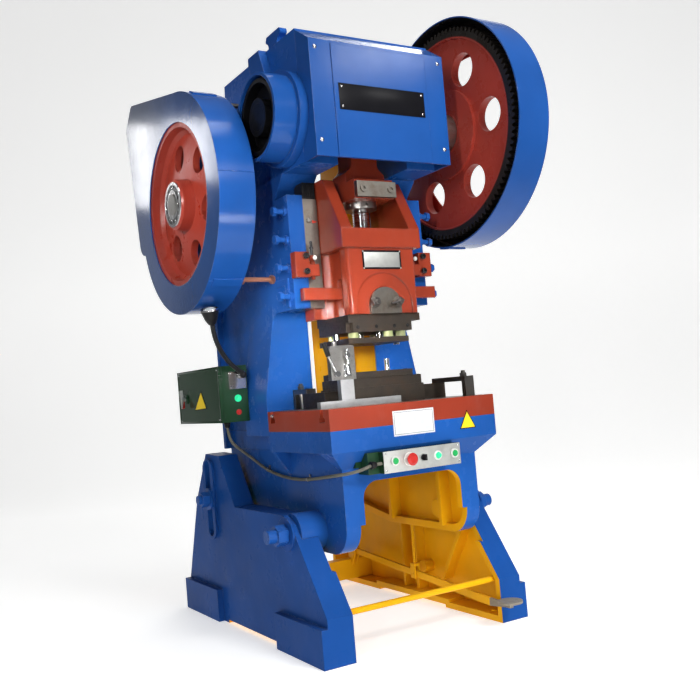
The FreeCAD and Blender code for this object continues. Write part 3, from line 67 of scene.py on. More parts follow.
def bottomOf(node):
    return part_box(node)[0].z


def topOf(node):
    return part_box(node)[1].z


# Facets cut a round solid's box short, so what comes from one is kept to a tenth of a millimetre.
def toTenth(value):
    return round(value, 4)


def middleOf(node):
    low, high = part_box(node)
    return Vector([toTenth(value) for value in (low + high) / 2])


toLeft = Vector((-1, 0, 0))
toRight = Vector((1, 0, 0))
toFront = Vector((0, -1, 0))
toTop = Vector((0, 0, 1))
gearAxis = middleOf("bull_gear")
wheelAxis = middleOf("flywheel")
bolsterTop = topOf("bolster_plate")


# Shader helpers. An input is a number, a tuple or the output of another node.
def addNode(tree, kind, inputs=None, **settings):
    item = tree.nodes.new("ShaderNode" + kind)
    for key, value in settings.items():
        setattr(item, key, value)
    for key, value in (inputs or {}).items():
        if isinstance(value, bpy.types.NodeSocket):
            tree.links.new(value, item.inputs[key])
        else:
            item.inputs[key].default_value = value
    return item


def opaque(colour):
    return (colour[0], colour[1], colour[2], 1.0)


def scaled(colour, share):
    return tuple(min(1.0, channel * share) for channel in colour)


def noise(tree, place, size, detail=3.0, rough=0.55, stretch=None):
    if stretch:
        place = addNode(tree, "Mapping", {"Vector": place, "Scale": stretch}).outputs[0]
    return addNode(tree, "TexNoise", {"Vector": place, "Scale": size, "Detail": detail,
                                      "Roughness": rough}).outputs[0]


def ramp(tree, value, low, high, fromValue=0.0, toValue=1.0):
    return addNode(tree, "MapRange", {"Value": value, "From Min": low, "From Max": high,
                                      "To Min": fromValue, "To Max": toValue}).outputs[0]


def blendColour(tree, share, first, second):
    item = tree.nodes.new("ShaderNodeMix")
    item.data_type = "RGBA"
    # The colour mix has its factor at input 0 and its two colours at 6 and 7.
    for index, value in ((0, share), (6, first), (7, second)):
        if isinstance(value, bpy.types.NodeSocket):
            tree.links.new(value, item.inputs[index])
        else:
            item.inputs[index].default_value = opaque(value) if isinstance(value, tuple) else value
    return item.outputs[2]


def combine(tree, how, first, second=0.0):
    return addNode(tree, "Math", {0: first, 1: second}, operation=how).outputs[0]


def dot(tree, first, second):
    return addNode(tree, "VectorMath", {0: first, 1: second}, operation="DOT_PRODUCT").outputs["Value"]


def bumped(tree, strength, depth, height, normal):
    return addNode(tree, "Bump", {"Strength": strength, "Distance": depth, "Height": height,
                                  "Normal": normal}).outputs[0]


def newMaterial(name, roughness, metallic=0.0, coat=0.0):
    material = bpy.data.materials.new(name)
    material.use_nodes = True
    tree = material.node_tree
    shader = tree.nodes["Principled BSDF"]
    shader.inputs["Roughness"].default_value = roughness
    shader.inputs["Metallic"].default_value = metallic
    shader.inputs["Coat Weight"].default_value = coat
    shader.inputs["Coat Roughness"].default_value = 0.12
    return material, tree, shader


# The rounded normal, and the share of an edge, which is where it leaves the face's own.
def edgeShare(tree, radius):
    rounded = addNode(tree, "Bevel", {"Radius": radius}, samples=4).outputs[0]
    own = addNode(tree, "NewGeometry").outputs["Normal"]
    return rounded, ramp(tree, dot(tree, rounded, own), 0.99, 0.8)


# Share of a place that lies past a limit along one axis, with a soft edge.
def past(tree, spot, axis, limit, soft=0.004):
    along = addNode(tree, "SeparateXYZ", {0: spot}).outputs[axis]
    return ramp(tree, along, limit - soft, limit + soft)


# Share of a place that lies past a radius around an axis along X.
def pastRadius(tree, spot, centre, limit, soft=0.003):
    parts = addNode(tree, "SeparateXYZ", {0: spot})
    flat = addNode(tree, "CombineXYZ", {1: combine(tree, "SUBTRACT", parts.outputs[1], centre.y),
                                        2: combine(tree, "SUBTRACT", parts.outputs[2], centre.z)})
    reach = addNode(tree, "VectorMath", {0: flat.outputs[0]}, operation="LENGTH").outputs["Value"]
    return ramp(tree, reach, limit - soft, limit + soft)


# Noise sizes are in waves to the metre, and depths in metres.
paintLook = {"broad": 2.3, "middle": 14.0, "fine": 70.0, "smear": 6.0, "lump": 9.0, "lumpDepth": 0.006,
             "peel": 0.12, "peelDepth": 0.0006, "dust": (0.3, 0.29, 0.27), "streak": (1.0, 1.0, 0.35)}
metalLook = {"blotch": 16.0, "grain": 90.0, "scratch": 0.15, "scratchDepth": 0.0004, "edge": 0.0012}
plasticLook = {"tone": 20.0, "grainDepth": 0.0003, "edge": 0.0008}


# Enamel: lumps under it, dust on what looks up, smears down the sides, edges worn to what is bare.
def enamel(name, colour, roughness, lumps, grime, worn, coat=0.06, edge=0.003, bare=(0.32, 0.33, 0.35),
           gloss=0.22, other=None, otherShare=None):
    material, tree, shader = newMaterial(name, roughness, coat=coat)
    shader.inputs["Specular IOR Level"].default_value = gloss
    place = addNode(tree, "TexCoord")
    spot = place.outputs["Object"]
    broad = noise(tree, spot, paintLook["broad"], 4.0)
    middle = noise(tree, spot, paintLook["middle"], 5.0, 0.6)
    fine = noise(tree, spot, paintLook["fine"])
    tone = blendColour(tree, ramp(tree, broad, 0.3, 0.7), scaled(colour, 0.8), scaled(colour, 1.15))
    if other:
        tone = blendColour(tree, otherShare(tree, spot), tone, other)
    upward = addNode(tree, "SeparateXYZ", {0: place.outputs["Normal"]}).outputs[2]
    lying = combine(tree, "MULTIPLY", ramp(tree, upward, 0.55, 0.98),
                    ramp(tree, middle, 0.35, 0.65, 0.3, 1.0))
    smear = ramp(tree, noise(tree, spot, paintLook["smear"], 6.0, 0.7, paintLook["streak"]), 0.52, 0.75)
    dusty = combine(tree, "MAXIMUM", lying, combine(tree, "MULTIPLY", smear, 0.45))
    dusty = combine(tree, "MULTIPLY", dusty, grime)
    tone = blendColour(tree, dusty, tone, paintLook["dust"])
    rounded, rim = edgeShare(tree, edge)
    rubbed = combine(tree, "MULTIPLY", rim, ramp(tree, middle, 0.46, 0.62))
    tone = blendColour(tree, combine(tree, "MULTIPLY", rubbed, worn), tone, bare)
    tree.links.new(tone, shader.inputs["Base Color"])
    rough = combine(tree, "ADD", ramp(tree, middle, 0.3, 0.7, roughness * 0.8, roughness * 1.3),
                    combine(tree, "MULTIPLY", dusty, 0.5))
    tree.links.new(rough, shader.inputs["Roughness"])
    wave = bumped(tree, lumps, paintLook["lumpDepth"], noise(tree, spot, paintLook["lump"], 2.0), rounded)
    peel = bumped(tree, paintLook["peel"], paintLook["peelDepth"], fine, wave)
    tree.links.new(peel, shader.inputs["Normal"])
    tree.links.new(peel, shader.inputs["Coat Normal"])
    return material


# Bare metal: tool marks drawn out by grain, stains in blotches, and a painted highlight that makes the edges
# a little brighter.
def steel(name, colour, roughness, grain=(1.0, 1.0, 14.0), stain=0.4, stainColour=(0.12, 0.08, 0.05),
          metallic=1.0):
    material, tree, shader = newMaterial(name, roughness, metallic)
    spot = addNode(tree, "TexCoord").outputs["Object"]
    blotch = noise(tree, spot, metalLook["blotch"], 5.0, 0.65)
    lines = noise(tree, spot, metalLook["grain"], 2.0, 0.5, grain)
    tone = blendColour(tree, ramp(tree, blotch, 0.3, 0.7), scaled(colour, 0.8), scaled(colour, 1.12))
    stained = combine(tree, "MULTIPLY", ramp(tree, blotch, 0.48, 0.72), stain)
    tone = blendColour(tree, stained, tone, stainColour)
    rounded, rim = edgeShare(tree, metalLook["edge"])
    # Painted highlight: the edges are lightened towards half again the metal's own colour.
    tone = blendColour(tree, combine(tree, "MULTIPLY", rim, 0.5), tone, scaled(colour, 1.5))
    tree.links.new(tone, shader.inputs["Base Color"])
    rough = ramp(tree, lines, 0.3, 0.7, roughness * 0.75, roughness * 1.3)
    tree.links.new(rough, shader.inputs["Roughness"])
    scratched = bumped(tree, metalLook["scratch"], metalLook["scratchDepth"], lines, rounded)
    tree.links.new(scratched, shader.inputs["Normal"])
    return material


# Moulded or printed surfaces; glow lights them from within and clear lets light through.
def plastic(name, colour, roughness, grain=250.0, strength=0.08, glow=0.0, clear=0.0, gloss=0.5):
    material, tree, shader = newMaterial(name, roughness)
    shader.inputs["Specular IOR Level"].default_value = gloss
    spot = addNode(tree, "TexCoord").outputs["Object"]
    cloudy = ramp(tree, noise(tree, spot, plasticLook["tone"]), 0.3, 0.7)
    tree.links.new(blendColour(tree, cloudy, scaled(colour, 0.88), scaled(colour, 1.1)),
                   shader.inputs["Base Color"])
    rounded, rim = edgeShare(tree, plasticLook["edge"])
    grained = bumped(tree, strength, plasticLook["grainDepth"], noise(tree, spot, grain, 2.0), rounded)
    tree.links.new(grained, shader.inputs["Normal"])
    if glow:
        shader.inputs["Emission Color"].default_value = opaque(colour)
        shader.inputs["Emission Strength"].default_value = glow
    if clear:
        shader.inputs["Transmission Weight"].default_value = clear
    return material


framePaint = enamel("framePaint", (0.014, 0.090, 0.36), 0.24, lumps=0.35, grime=0.06, worn=0.5, coat=0.02,
                    gloss=0.09)
# The legs' blue is a darker copy of the frame's, as painted shade, and has less gloss.
shadedLegPaint = enamel("shadedLegPaint", (0.011, 0.072, 0.30), 0.3, lumps=0.35, grime=0.05, worn=0.5, coat=0.0,
                  gloss=0.03)
guardPaint = enamel("guardPaint", (0.012, 0.082, 0.33), 0.15, lumps=0.06, grime=0.04, worn=0.35, coat=0.15)
coverPaint = enamel("coverPaint", (0.02, 0.065, 0.21), 0.12, lumps=0.03, grime=0.05, worn=0.7, coat=0.6,
                    gloss=0.4)
safetyYellow = enamel("safetyYellow", (0.86, 0.44, 0.006), 0.38, lumps=0.4, grime=0.06, worn=0.4, coat=0.0,
                      gloss=0.08, bare=(0.2, 0.15, 0.08))
slidePaint = enamel("slidePaint", (0.29, 0.038, 0.016), 0.18, lumps=0.4, grime=0.08, worn=0.7, coat=0.35,
                    edge=0.009, bare=(0.10, 0.045, 0.03))
bolsterPaint = enamel("bolsterPaint", (0.28, 0.034, 0.014), 0.35, lumps=0.05, grime=0.18, worn=0.6,
                      bare=(0.10, 0.07, 0.05))
wheelPaint = enamel("wheelPaint", (0.33, 0.040, 0.024), 0.3, lumps=0.3, grime=0.08, worn=0.3,
                    bare=(0.2, 0.1, 0.07))
boxPaint = enamel("boxPaint", (0.014, 0.050, 0.022), 0.2, lumps=0.03, grime=0.06, worn=0.4, coat=0.1)
drumBlack = enamel("drumBlack", (0.006, 0.006, 0.007), 0.35, lumps=0.3, grime=0.02, worn=0.25, gloss=0.15,
                   bare=(0.12, 0.12, 0.12))
copperPaint = enamel("copperPaint", (0.3, 0.12, 0.07), 0.4, lumps=0.05, grime=0.3, worn=0.4)
# The gear's web is red, and its rim is black with grease.
gearGrease = 0.384
gearPaint = enamel("gearPaint", (0.44, 0.055, 0.036), 0.28, lumps=0.3, grime=0.10, worn=0.3,
                   bare=(0.10, 0.05, 0.04), other=(0.022, 0.018, 0.015),
                   otherShare=lambda tree, spot: pastRadius(tree, spot, gearAxis, gearGrease))
# The columns' inner faces are blue at the front and yellow behind this line. That yellow is a little
# brighter than safetyYellow, as painted light in the gap behind the slide.
columnLine = -0.13
columnPaint = enamel("columnPaint", (0.018, 0.095, 0.37), 0.3, lumps=0.3, grime=0.08, worn=0.2, coat=0.0,
                     gloss=0.1, other=(0.90, 0.47, 0.010),
                     otherShare=lambda tree, spot: past(tree, spot, 1, columnLine))
darkSteel = steel("darkSteel", (0.16, 0.15, 0.14), 0.36, stain=0.5)
machinedSteel = steel("machinedSteel", (0.38, 0.37, 0.35), 0.34)
groundSteel = steel("groundSteel", (0.26, 0.24, 0.21), 0.38, (14.0, 1.0, 1.0), stain=0.7)
dieSteel = steel("dieSteel", (0.060, 0.048, 0.038), 0.45, (9.0, 1.0, 1.0), stain=0.7,
                 stainColour=(0.07, 0.04, 0.025), metallic=0.7)
polishedSteel = steel("polishedSteel", (0.62, 0.62, 0.63), 0.12, stain=0.1)
blackIron = steel("blackIron", (0.035, 0.035, 0.037), 0.25, stain=0.5, stainColour=(0.015, 0.013, 0.012),
                  metallic=0.6)
greasyTeeth = steel("greasyTeeth", (0.05, 0.042, 0.035), 0.35, stain=0.6, stainColour=(0.02, 0.015, 0.012),
                    metallic=0.7)
bushBronze = steel("bushBronze", (0.5, 0.33, 0.15), 0.3)
sawnAluminium = steel("sawnAluminium", (0.62, 0.62, 0.63), 0.42, (1.0, 16.0, 16.0), stain=0.15,
                      stainColour=(0.3, 0.3, 0.3))
treadPlate = steel("treadPlate", (0.30, 0.27, 0.22), 0.6, stain=0.6, stainColour=(0.16, 0.12, 0.07),
                   metallic=0.4)
panelAluminium = steel("panelAluminium", (0.6, 0.61, 0.58), 0.45, (18.0, 1.0, 1.0), stain=0.08,
                       stainColour=(0.4, 0.4, 0.38))
beltRubber = plastic("beltRubber", (0.02, 0.02, 0.02), 0.7, 120.0, 0.3)
urethane = plastic("urethane", (0.5, 0.55, 0.25), 0.35, clear=0.2)
blackPlastic = plastic("blackPlastic", (0.010, 0.010, 0.011), 0.34, gloss=0.2)
conduitGrey = plastic("conduitGrey", (0.13, 0.125, 0.095), 0.55, 160.0, 0.25)
buttonGreen = plastic("buttonGreen", (0.02, 0.4, 0.10), 0.25)
buttonRed = plastic("buttonRed", (0.55, 0.025, 0.02), 0.22)
lampGlow = plastic("lampGlow", (0.02, 0.55, 0.24), 0.2, glow=0.8)
whitePlastic = plastic("whitePlastic", (0.75, 0.76, 0.72), 0.3)
plateBlack = plastic("plateBlack", (0.008, 0.008, 0.010), 0.2, strength=0.03, gloss=0.08)
signWhite = plastic("signWhite", (0.72, 0.74, 0.76), 0.3, strength=0.03)
# The signs' yellow glows a little though it is no lamp: painted light that brightens them.
signYellowPaintedGlow = plastic("signYellowPaintedGlow", (0.88, 0.62, 0.02), 0.4, strength=0.03, glow=0.12, gloss=0.15)
signRed = plastic("signRed", (0.6, 0.05, 0.03), 0.3)
lampGlass = plastic("lampGlass", (0.8, 0.82, 0.8), 0.08, clear=0.3)
print("materials made")


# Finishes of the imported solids: a face's slot follows where the face is and which way it looks.
def dress(node, materials, choose=None):
    data = nodes[node].data
    data.materials.clear()
    for material in materials:
        data.materials.append(material)
    for face in data.polygons:
        face.material_index = int(choose(face.center, face.normal)) if choose else 0


plainFinishes = [
    (framePaint, ("slot_bolts", "gib_bolts", "motor", "motor_base")),
    (guardPaint, ("hood", "brake_guard")),
    (safetyYellow, ("rear_cross_beam", "front_tie_rod", "pull_rod")),
    (slidePaint, ("slide", "connecting_rod", "rod_cap", "knockout_bar", "knockout_brackets")),
    (wheelPaint, ("flywheel",)),
    (boxPaint, ("control_box", "electric_box", "electric_door")),
    (drumBlack, ("brake_band", "brake_drum")),
    (groundSteel, ("left_gib", "right_gib", "clamp_plate", "shank_clamp")),
    (machinedSteel, ("countershaft", "lock_ring")),
    (polishedSteel, ("ball_screw",)),
    (darkSteel, ("die_clamps",)),
    (dieSteel, ("stripper_plate",)),
    (blackIron, ("motor_pulley",)),
    (greasyTeeth, ("pinion",)),
    (bushBronze, ("shaft_bushes",)),
    (sawnAluminium, ("front_rail",)),
    (panelAluminium, ("control_face",)),
    (beltRubber, ("drive_belts",)),
    (urethane, ("stripper_springs",)),
    (blackPlastic, ("lamp_head", "selector_knob")),
    (conduitGrey, ("conduit",)),
    (buttonGreen, ("start_button_left", "start_button_right")),
    (buttonRed, ("stop_button",)),
    (lampGlow, ("pilot_lamps",)),
]
for material, group in plainFinishes:
    for node in group:
        dress(node, [material])

# The leg's side view, without the sole that it stands on.
legLooks = {"plateInside": 0.397, "rim": 0.014,
            "outline": [(-0.591, 0.0), (-0.591, 0.16), (-0.361, 0.481), (0.106, 0.481), (0.237, 0.683),
                        (0.373, 0.683), (0.512, 0.484), (0.662, 0.13), (0.662, 0.0)]}
bodyLooks = {"columnInside": 0.1525, "columnLow": 0.779, "columnHigh": 1.99, "cheekInside": 0.263,
             "tableBottom": 0.699, "arch": 0.214, "archTop": 0.59, "apronFront": -0.545}
coverLooks = {"gearInside": 0.5, "wheelFront": leftOf("flywheel_cover") + 0.0005}


def outlineGap(outline, y, z):
    spot = Vector((y, z))
    least = 10.0
    for start, end in zip(outline, outline[1:]):
        start, end = Vector(start), Vector(end)
        share = min(1.0, max(0.0, (spot - start).dot(end - start) / (end - start).length_squared))
        least = min(least, (start.lerp(end, share) - spot).length)
    return least


# The inside of each leg is yellow, its outside and the outer edge of its rim are blue.
def legInside(spot, normal):
    if abs(spot.x) > legLooks["plateInside"]:
        return False
    inward = -normal.x if spot.x > 0 else normal.x
    return inward > 0.5 or outlineGap(legLooks["outline"], spot.y, spot.z) >= legLooks["rim"]


# The frame is blue, yellow under the table, and has the two-tone paint between its columns.
def bodyFace(spot, normal):
    frontFacing = normal.y < -0.5 and spot.y < bodyLooks["apronFront"]
    if spot.z > bodyLooks["columnLow"]:
        return 2 if abs(spot.x) < bodyLooks["columnInside"] and spot.z < bodyLooks["columnHigh"] else 0
    if spot.z >= bodyLooks["tableBottom"] or frontFacing:
        return 0
    inArch = abs(spot.x) < bodyLooks["arch"] and spot.z < bodyLooks["archTop"]
    return 1 if inArch or (abs(spot.x) < bodyLooks["cheekInside"] and normal.z > -0.3) else 0


# The rim's inside and the back of the web look at the gear, and are red like it.
def gearCoverInside(spot, normal):
    if abs(normal.x) < 0.3:
        return Vector((0.0, spot.y - gearAxis.y, spot.z - gearAxis.z)).dot(normal) < 0
    return normal.x < 0 and spot.x > coverLooks["gearInside"]


# Each row has a node, its first finish, its second one, and the faces that take the second.
twoFinishes = [
    ("left_leg", shadedLegPaint, safetyYellow, legInside),
    ("right_leg", shadedLegPaint, safetyYellow, legInside),
    ("gear_cover", guardPaint, gearPaint, gearCoverInside),
    ("flywheel_cover", guardPaint, coverPaint,
     lambda spot, normal: normal.x < -0.5 and spot.x < coverLooks["wheelFront"]),
    ("bull_gear", gearPaint, greasyTeeth,
     lambda spot, normal: math.hypot(spot.y - gearAxis.y, spot.z - gearAxis.z) > 0.402),   # the teeth
    ("bolster_plate", bolsterPaint, groundSteel,
     lambda spot, normal: normal.z > 0.5 and spot.z > bolsterTop - 0.008),
    ("hinge_bolts", framePaint, safetyYellow, lambda spot, normal: abs(spot.x) < 0.31),   # inside the cheeks
    ("lower_die", dieSteel, polishedSteel, lambda spot, normal: spot.z > 0.9685),   # pillars and pins
    ("upper_die", dieSteel, polishedSteel, lambda spot, normal: 1.03 < spot.z < 1.0998),   # punches
    ("fixture_bracket", sawnAluminium, machinedSteel, lambda spot, normal: spot.z > 0.945),   # its block
    ("crankshaft", machinedSteel, drumBlack, lambda spot, normal: spot.x < -0.30),   # the brake's end
    ("stay_rods", copperPaint, darkSteel, lambda spot, normal: spot.z > 1.8),   # the upper rod
    ("foot_pedal", safetyYellow, treadPlate, lambda spot, normal: spot.y < -0.56),   # the tread
    ("isolator_handle", panelAluminium, buttonRed, lambda spot, normal: spot.z < 0.905),   # its tip
    ("lamp_arm", blackPlastic, polishedSteel,
     lambda spot, normal: spot.y > 0.005 and 0.946 < spot.z < 1.016 and spot.x > -0.44),   # the base plate
    ("fixture_lever", polishedSteel, blackPlastic, lambda spot, normal: spot.z > 1.028),   # the knob
]
for node, first, second, takesSecond in twoFinishes:
    dress(node, [first, second], takesSecond)
dress("body_frame", [framePaint, safetyYellow, columnPaint], bodyFace)
print("solids dressed")


# Mesh helpers. Each adds its shape to an open mesh, and finish turns that mesh into a piece.
def bridge(form, first, second, segments):
    for step in range(segments):
        following = (step + 1) % segments
        corners = [first[step % len(first)], first[following % len(first)],
                   second[following % len(second)], second[step % len(second)]]
        corners = list(dict.fromkeys(corners))
        if len(corners) > 2:
            form.faces.new(corners)


def addRing(form, centre, side, up, radius, segments):
    ring = []
    for step in range(segments):
        angle = 2 * math.pi * step / segments
        ring.append(form.verts.new(centre + radius * (side * math.cos(angle) + up * math.sin(angle))))
    return ring


# A turned shape: the profile's pairs are the distance along the axis and the radius there.
def addLathe(form, start, direction, profile, segments=32):
    start = Vector(start)
    along = Vector(direction).normalized()
    side = along.orthogonal().normalized()
    up = along.cross(side)
    rings = []
    for distance, radius in profile:
        centre = start + along * distance
        if radius < 1e-6:
            rings.append([form.verts.new(centre)])
        else:
            rings.append(addRing(form, centre, side, up, radius, segments))
    for first, second in zip(rings, rings[1:]):
        bridge(form, first, second, segments)


def addCollar(form, start, direction, outer, inner, height, segments=20):
    profile = [(0.0, outer), (height, outer), (height, inner), (0.0, inner)]
    addLathe(form, start, direction, profile, segments)


def addTube(form, spots, radii, segments=12):
    rings = []
    side = (spots[1] - spots[0]).orthogonal().normalized()
    for index, spot in enumerate(spots):
        along = (spots[min(index + 1, len(spots) - 1)] - spots[max(index - 1, 0)]).normalized()
        side = (side - along * side.dot(along)).normalized()
        rings.append(addRing(form, spot, side, along.cross(side), radii[index], segments))
    for first, second in zip(rings, rings[1:]):
        bridge(form, first, second, segments)
    form.faces.new(rings[0][::-1])
    form.faces.new(rings[-1])


# A tube whose radius steps in at every second ring.
def addRibbedTube(form, spots, ribs, segments):
    addTube(form, spots, [ribs["radius"] - ribs["groove"] * (index % 2) for index in range(len(spots))],
            segments)


def addBox(form, low, high, edge=0.0):
    made = bmesh.ops.create_cube(form, size=1.0)
    middle = (Vector(low) + Vector(high)) / 2
    for corner in made["verts"]:
        for axis in range(3):
            corner.co[axis] = middle[axis] + corner.co[axis] * (high[axis] - low[axis])
    if edge:
        edges = list({line for corner in made["verts"] for line in corner.link_edges})
        bmesh.ops.bevel(form, geom=edges, offset=edge, segments=2, affect="EDGES", profile=0.7)


def addPrism(form, corners, depth):
    depth = Vector(depth)
    near = [form.verts.new(Vector(corner)) for corner in corners]
    far = [form.verts.new(Vector(corner) + depth) for corner in corners]
    form.faces.new(near)
    form.faces.new(far[::-1])
    for index in range(len(near)):
        following = (index + 1) % len(near)
        form.faces.new([near[index], near[following], far[following], far[index]])


# The four strips of a border, each as its low and its high corner in the plane of the plate.
def borderStrips(left, right, low, high, wide):
    return [((left, low), (right, low + wide)), ((left, high - wide), (right, high)),
            ((left, low), (left + wide, high)), ((right - wide, low), (right, high))]


def screwHead(form, spot, direction, radius, height):
    edge = height * 0.25
    hole = radius * 0.5
    floorOfHole = height * 0.4
    addLathe(form, spot, direction, [
        (0.0, radius), (height - edge, radius), (height, radius - edge), (height, hole),
        (floorOfHole, hole), (floorOfHole, 0.0)], 20)


def domeHead(form, spot, direction, radius, height):
    steps = 6
    angles = [math.pi / 2 * step / steps for step in range(steps + 1)]
    profile = [(height * math.sin(angle), radius * math.cos(angle)) for angle in angles]
    addLathe(form, spot, direction, profile, 20)


def hexHead(form, spot, direction, across, height):
    radius = across / math.sqrt(3)
    addLathe(form, spot, direction, [
        (0.0, radius), (height * 0.85, radius), (height, radius * 0.88), (height, 0.0)], 6)


# A head at each crossing of the rows xs and zs, on a face that looks to the front.
def addFrontHeads(form, addHead, screw):
    for x in screw["xs"]:
        for z in screw["zs"]:
            addHead(form, (x, screw["face"], z), toFront, screw["radius"], screw["height"])


def bothSides(x):
    return (-x, x)


# A piece's edges look sharp from this angle on.
sharpAngle = math.radians(32)


def finish(name, form, material, body):
    bmesh.ops.recalc_face_normals(form, faces=form.faces)
    data = bpy.data.meshes.new(name)
    form.to_mesh(data)
    form.free()
    data.materials.append(material)
    data.polygons.foreach_set("use_smooth", [True] * len(data.polygons))
    data.set_sharp_from_angle(angle=sharpAngle)
    item = bpy.data.objects.new(name, data)
    scene.collection.objects.link(item)
    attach(item, body)
    return item


# Hood: a bare nameplate with its four screws, and the four screws of the cover.
hoodPlate = {"halfWidth": 0.185, "low": bottomOf("hood") + 0.170, "high": bottomOf("hood") + 0.265,
             "face": frontOf("hood"), "thick": 0.002, "edge": 0.0006, "screwIn": 0.012}
inset = hoodPlate["screwIn"]
plateFront = hoodPlate["face"] - hoodPlate["thick"]
plateScrew = {"xs": bothSides(hoodPlate["halfWidth"] - inset), "face": plateFront,
              "zs": (hoodPlate["low"] + inset, hoodPlate["high"] - inset), "radius": 0.0045, "height": 0.003}
coverScrew = {"xs": bothSides(rightOf("hood") - 0.024), "face": frontOf("hood") + 0.005,
              "zs": (topOf("hood") - 0.093, bottomOf("hood") + 0.057), "radius": 0.008, "height": 0.005}
form = bmesh.new()
addBox(form, (-hoodPlate["halfWidth"], plateFront, hoodPlate["low"]),
       (hoodPlate["halfWidth"], hoodPlate["face"], hoodPlate["high"]), hoodPlate["edge"])
finish("hoodPlate", form, plateBlack, "frame")
form = bmesh.new()
for screw in (plateScrew, coverScrew):
    addFrontHeads(form, domeHead, screw)
finish("hoodScrews", form, polishedSteel, "frame")

# Slide: a bare data plate in a dark frame, riveted at its corners.
slidePlate = {"halfWidth": 0.085, "low": bottomOf("slide") + 0.164, "high": bottomOf("slide") + 0.234,
              "face": frontOf("slide") + 0.012, "thick": 0.0015, "border": 0.007, "proud": 0.0006,
              "sunk": 0.0002, "rivetIn": 0.004}
inset = slidePlate["rivetIn"]
plateFront = slidePlate["face"] - slidePlate["thick"]
rivet = {"xs": bothSides(slidePlate["halfWidth"] - inset), "face": plateFront,
         "zs": (slidePlate["low"] + inset, slidePlate["high"] - inset), "radius": 0.003, "height": 0.002}
form = bmesh.new()
addBox(form, (-slidePlate["halfWidth"], plateFront, slidePlate["low"]),
       (slidePlate["halfWidth"], slidePlate["face"], slidePlate["high"]))
finish("slidePlateFrame", form, plateBlack, "ram")
form = bmesh.new()
inset = slidePlate["border"]
addBox(form, (-slidePlate["halfWidth"] + inset, plateFront - slidePlate["proud"], slidePlate["low"] + inset),
       (slidePlate["halfWidth"] - inset, plateFront + slidePlate["sunk"], slidePlate["high"] - inset),
       slidePlate["sunk"])
addFrontHeads(form, domeHead, rivet)
finish("slidePlate", form, panelAluminium, "ram")

# Table front: a bare white sign with a fine line round it.
tableSign = {"left": -0.102, "right": 0.074, "low": 0.732, "high": 0.820, "face": frontOf("bolster_plate"),
             "thick": 0.001, "lineIn": 0.005, "lineWide": 0.0012, "lineProud": 0.0003, "lineSunk": 0.0001}
signFront = tableSign["face"] - tableSign["thick"]
form = bmesh.new()
addBox(form, (tableSign["left"], signFront, tableSign["low"]),
       (tableSign["right"], tableSign["face"], tableSign["high"]))
finish("tableSign", form, signWhite, "frame")
form = bmesh.new()
inset = tableSign["lineIn"]
for low, high in borderStrips(tableSign["left"] + inset, tableSign["right"] - inset,
                              tableSign["low"] + inset, tableSign["high"] - inset, tableSign["lineWide"]):
    addBox(form, (low[0], signFront - tableSign["lineProud"], low[1]),
           (high[0], signFront + tableSign["lineSunk"], high[1]))
finish("tableSignLine", form, plateBlack, "frame")

# Two bare yellow triangles with black borders, on the table and on the box's door.
triangleLook = {"border": 0.001, "inside": 0.86, "from": 0.0009, "thick": 0.0005}
tableTriangle = {"y": frontOf("bolster_plate"), "corners": [(0.187, 0.731), (0.261, 0.731), (0.224, 0.798)]}
doorFace = leftOf("electric_door") + 0.006
boxTriangle = {"x": doorFace, "corners": [(0.303, 0.872), (0.169, 0.877), (0.22, 0.951)]}


def triangleSign(name, corners, outward, body):
    corners = [Vector(corner) for corner in corners]
    middle = sum(corners, Vector()) / 3
    form = bmesh.new()
    addPrism(form, corners, outward * triangleLook["border"])
    finish(name + "Border", form, plateBlack, body)
    form = bmesh.new()
    smaller = [middle + (corner - middle) * triangleLook["inside"] + outward * triangleLook["from"]
               for corner in corners]
    addPrism(form, smaller, outward * triangleLook["thick"])
    finish(name, form, signYellowPaintedGlow, body)


triangleSign("tableTriangle", [(x, tableTriangle["y"], z) for x, z in tableTriangle["corners"]], toFront,
             "frame")
triangleSign("boxTriangle", [(boxTriangle["x"], y, z) for y, z in boxTriangle["corners"]], toLeft, "door")
print("plates placed")

# Conduit: a ribbed sleeve along the same route as its solid, from the electric box to the control box.
conduitRoute = [
    (-0.424, 0.096, 0.818), (-0.424, 0.096, 0.770), (-0.404, 0.101, 0.730), (-0.364, 0.112, 0.700),
    (-0.327, 0.120, 0.672), (-0.306, 0.097, 0.646), (-0.300, 0.050, 0.626), (-0.301, -0.015, 0.612),
    (-0.300, -0.090, 0.600), (-0.300, -0.175, 0.593), (-0.301, -0.260, 0.592), (-0.302, -0.340, 0.597),
    (-0.305, -0.420, 0.605), (-0.309, -0.495, 0.614), (-0.306, -0.550, 0.620), (-0.284, -0.590, 0.625),
    (-0.250, -0.616, 0.634), (-0.215, -0.628, 0.648), (-0.177, -0.628, 0.648),
]
sleeve = {"radius": 0.0062, "groove": 0.0009, "gap": 0.0022}


def smoothRoute(name, points):
    curve = bpy.data.curves.new(name, "CURVE")
    curve.dimensions = "3D"
    curve.resolution_u = 14
    spline = curve.splines.new("NURBS")
    spline.points.add(len(points) - 1)
    for point, spot in zip(spline.points, points):
        point.co = (spot[0], spot[1], spot[2], 1.0)
    spline.order_u = 3
    spline.use_endpoint_u = True
    holder = bpy.data.objects.new(name, curve)
    scene.collection.objects.link(holder)
    bpy.context.view_layer.update()
    data = bpy.data.meshes.new_from_object(holder.evaluated_get(bpy.context.evaluated_depsgraph_get()))
    line = [vertex.co.copy() for vertex in data.vertices]
    bpy.data.objects.remove(holder)
    bpy.data.meshes.remove(data)
    bpy.data.curves.remove(curve)
    return line


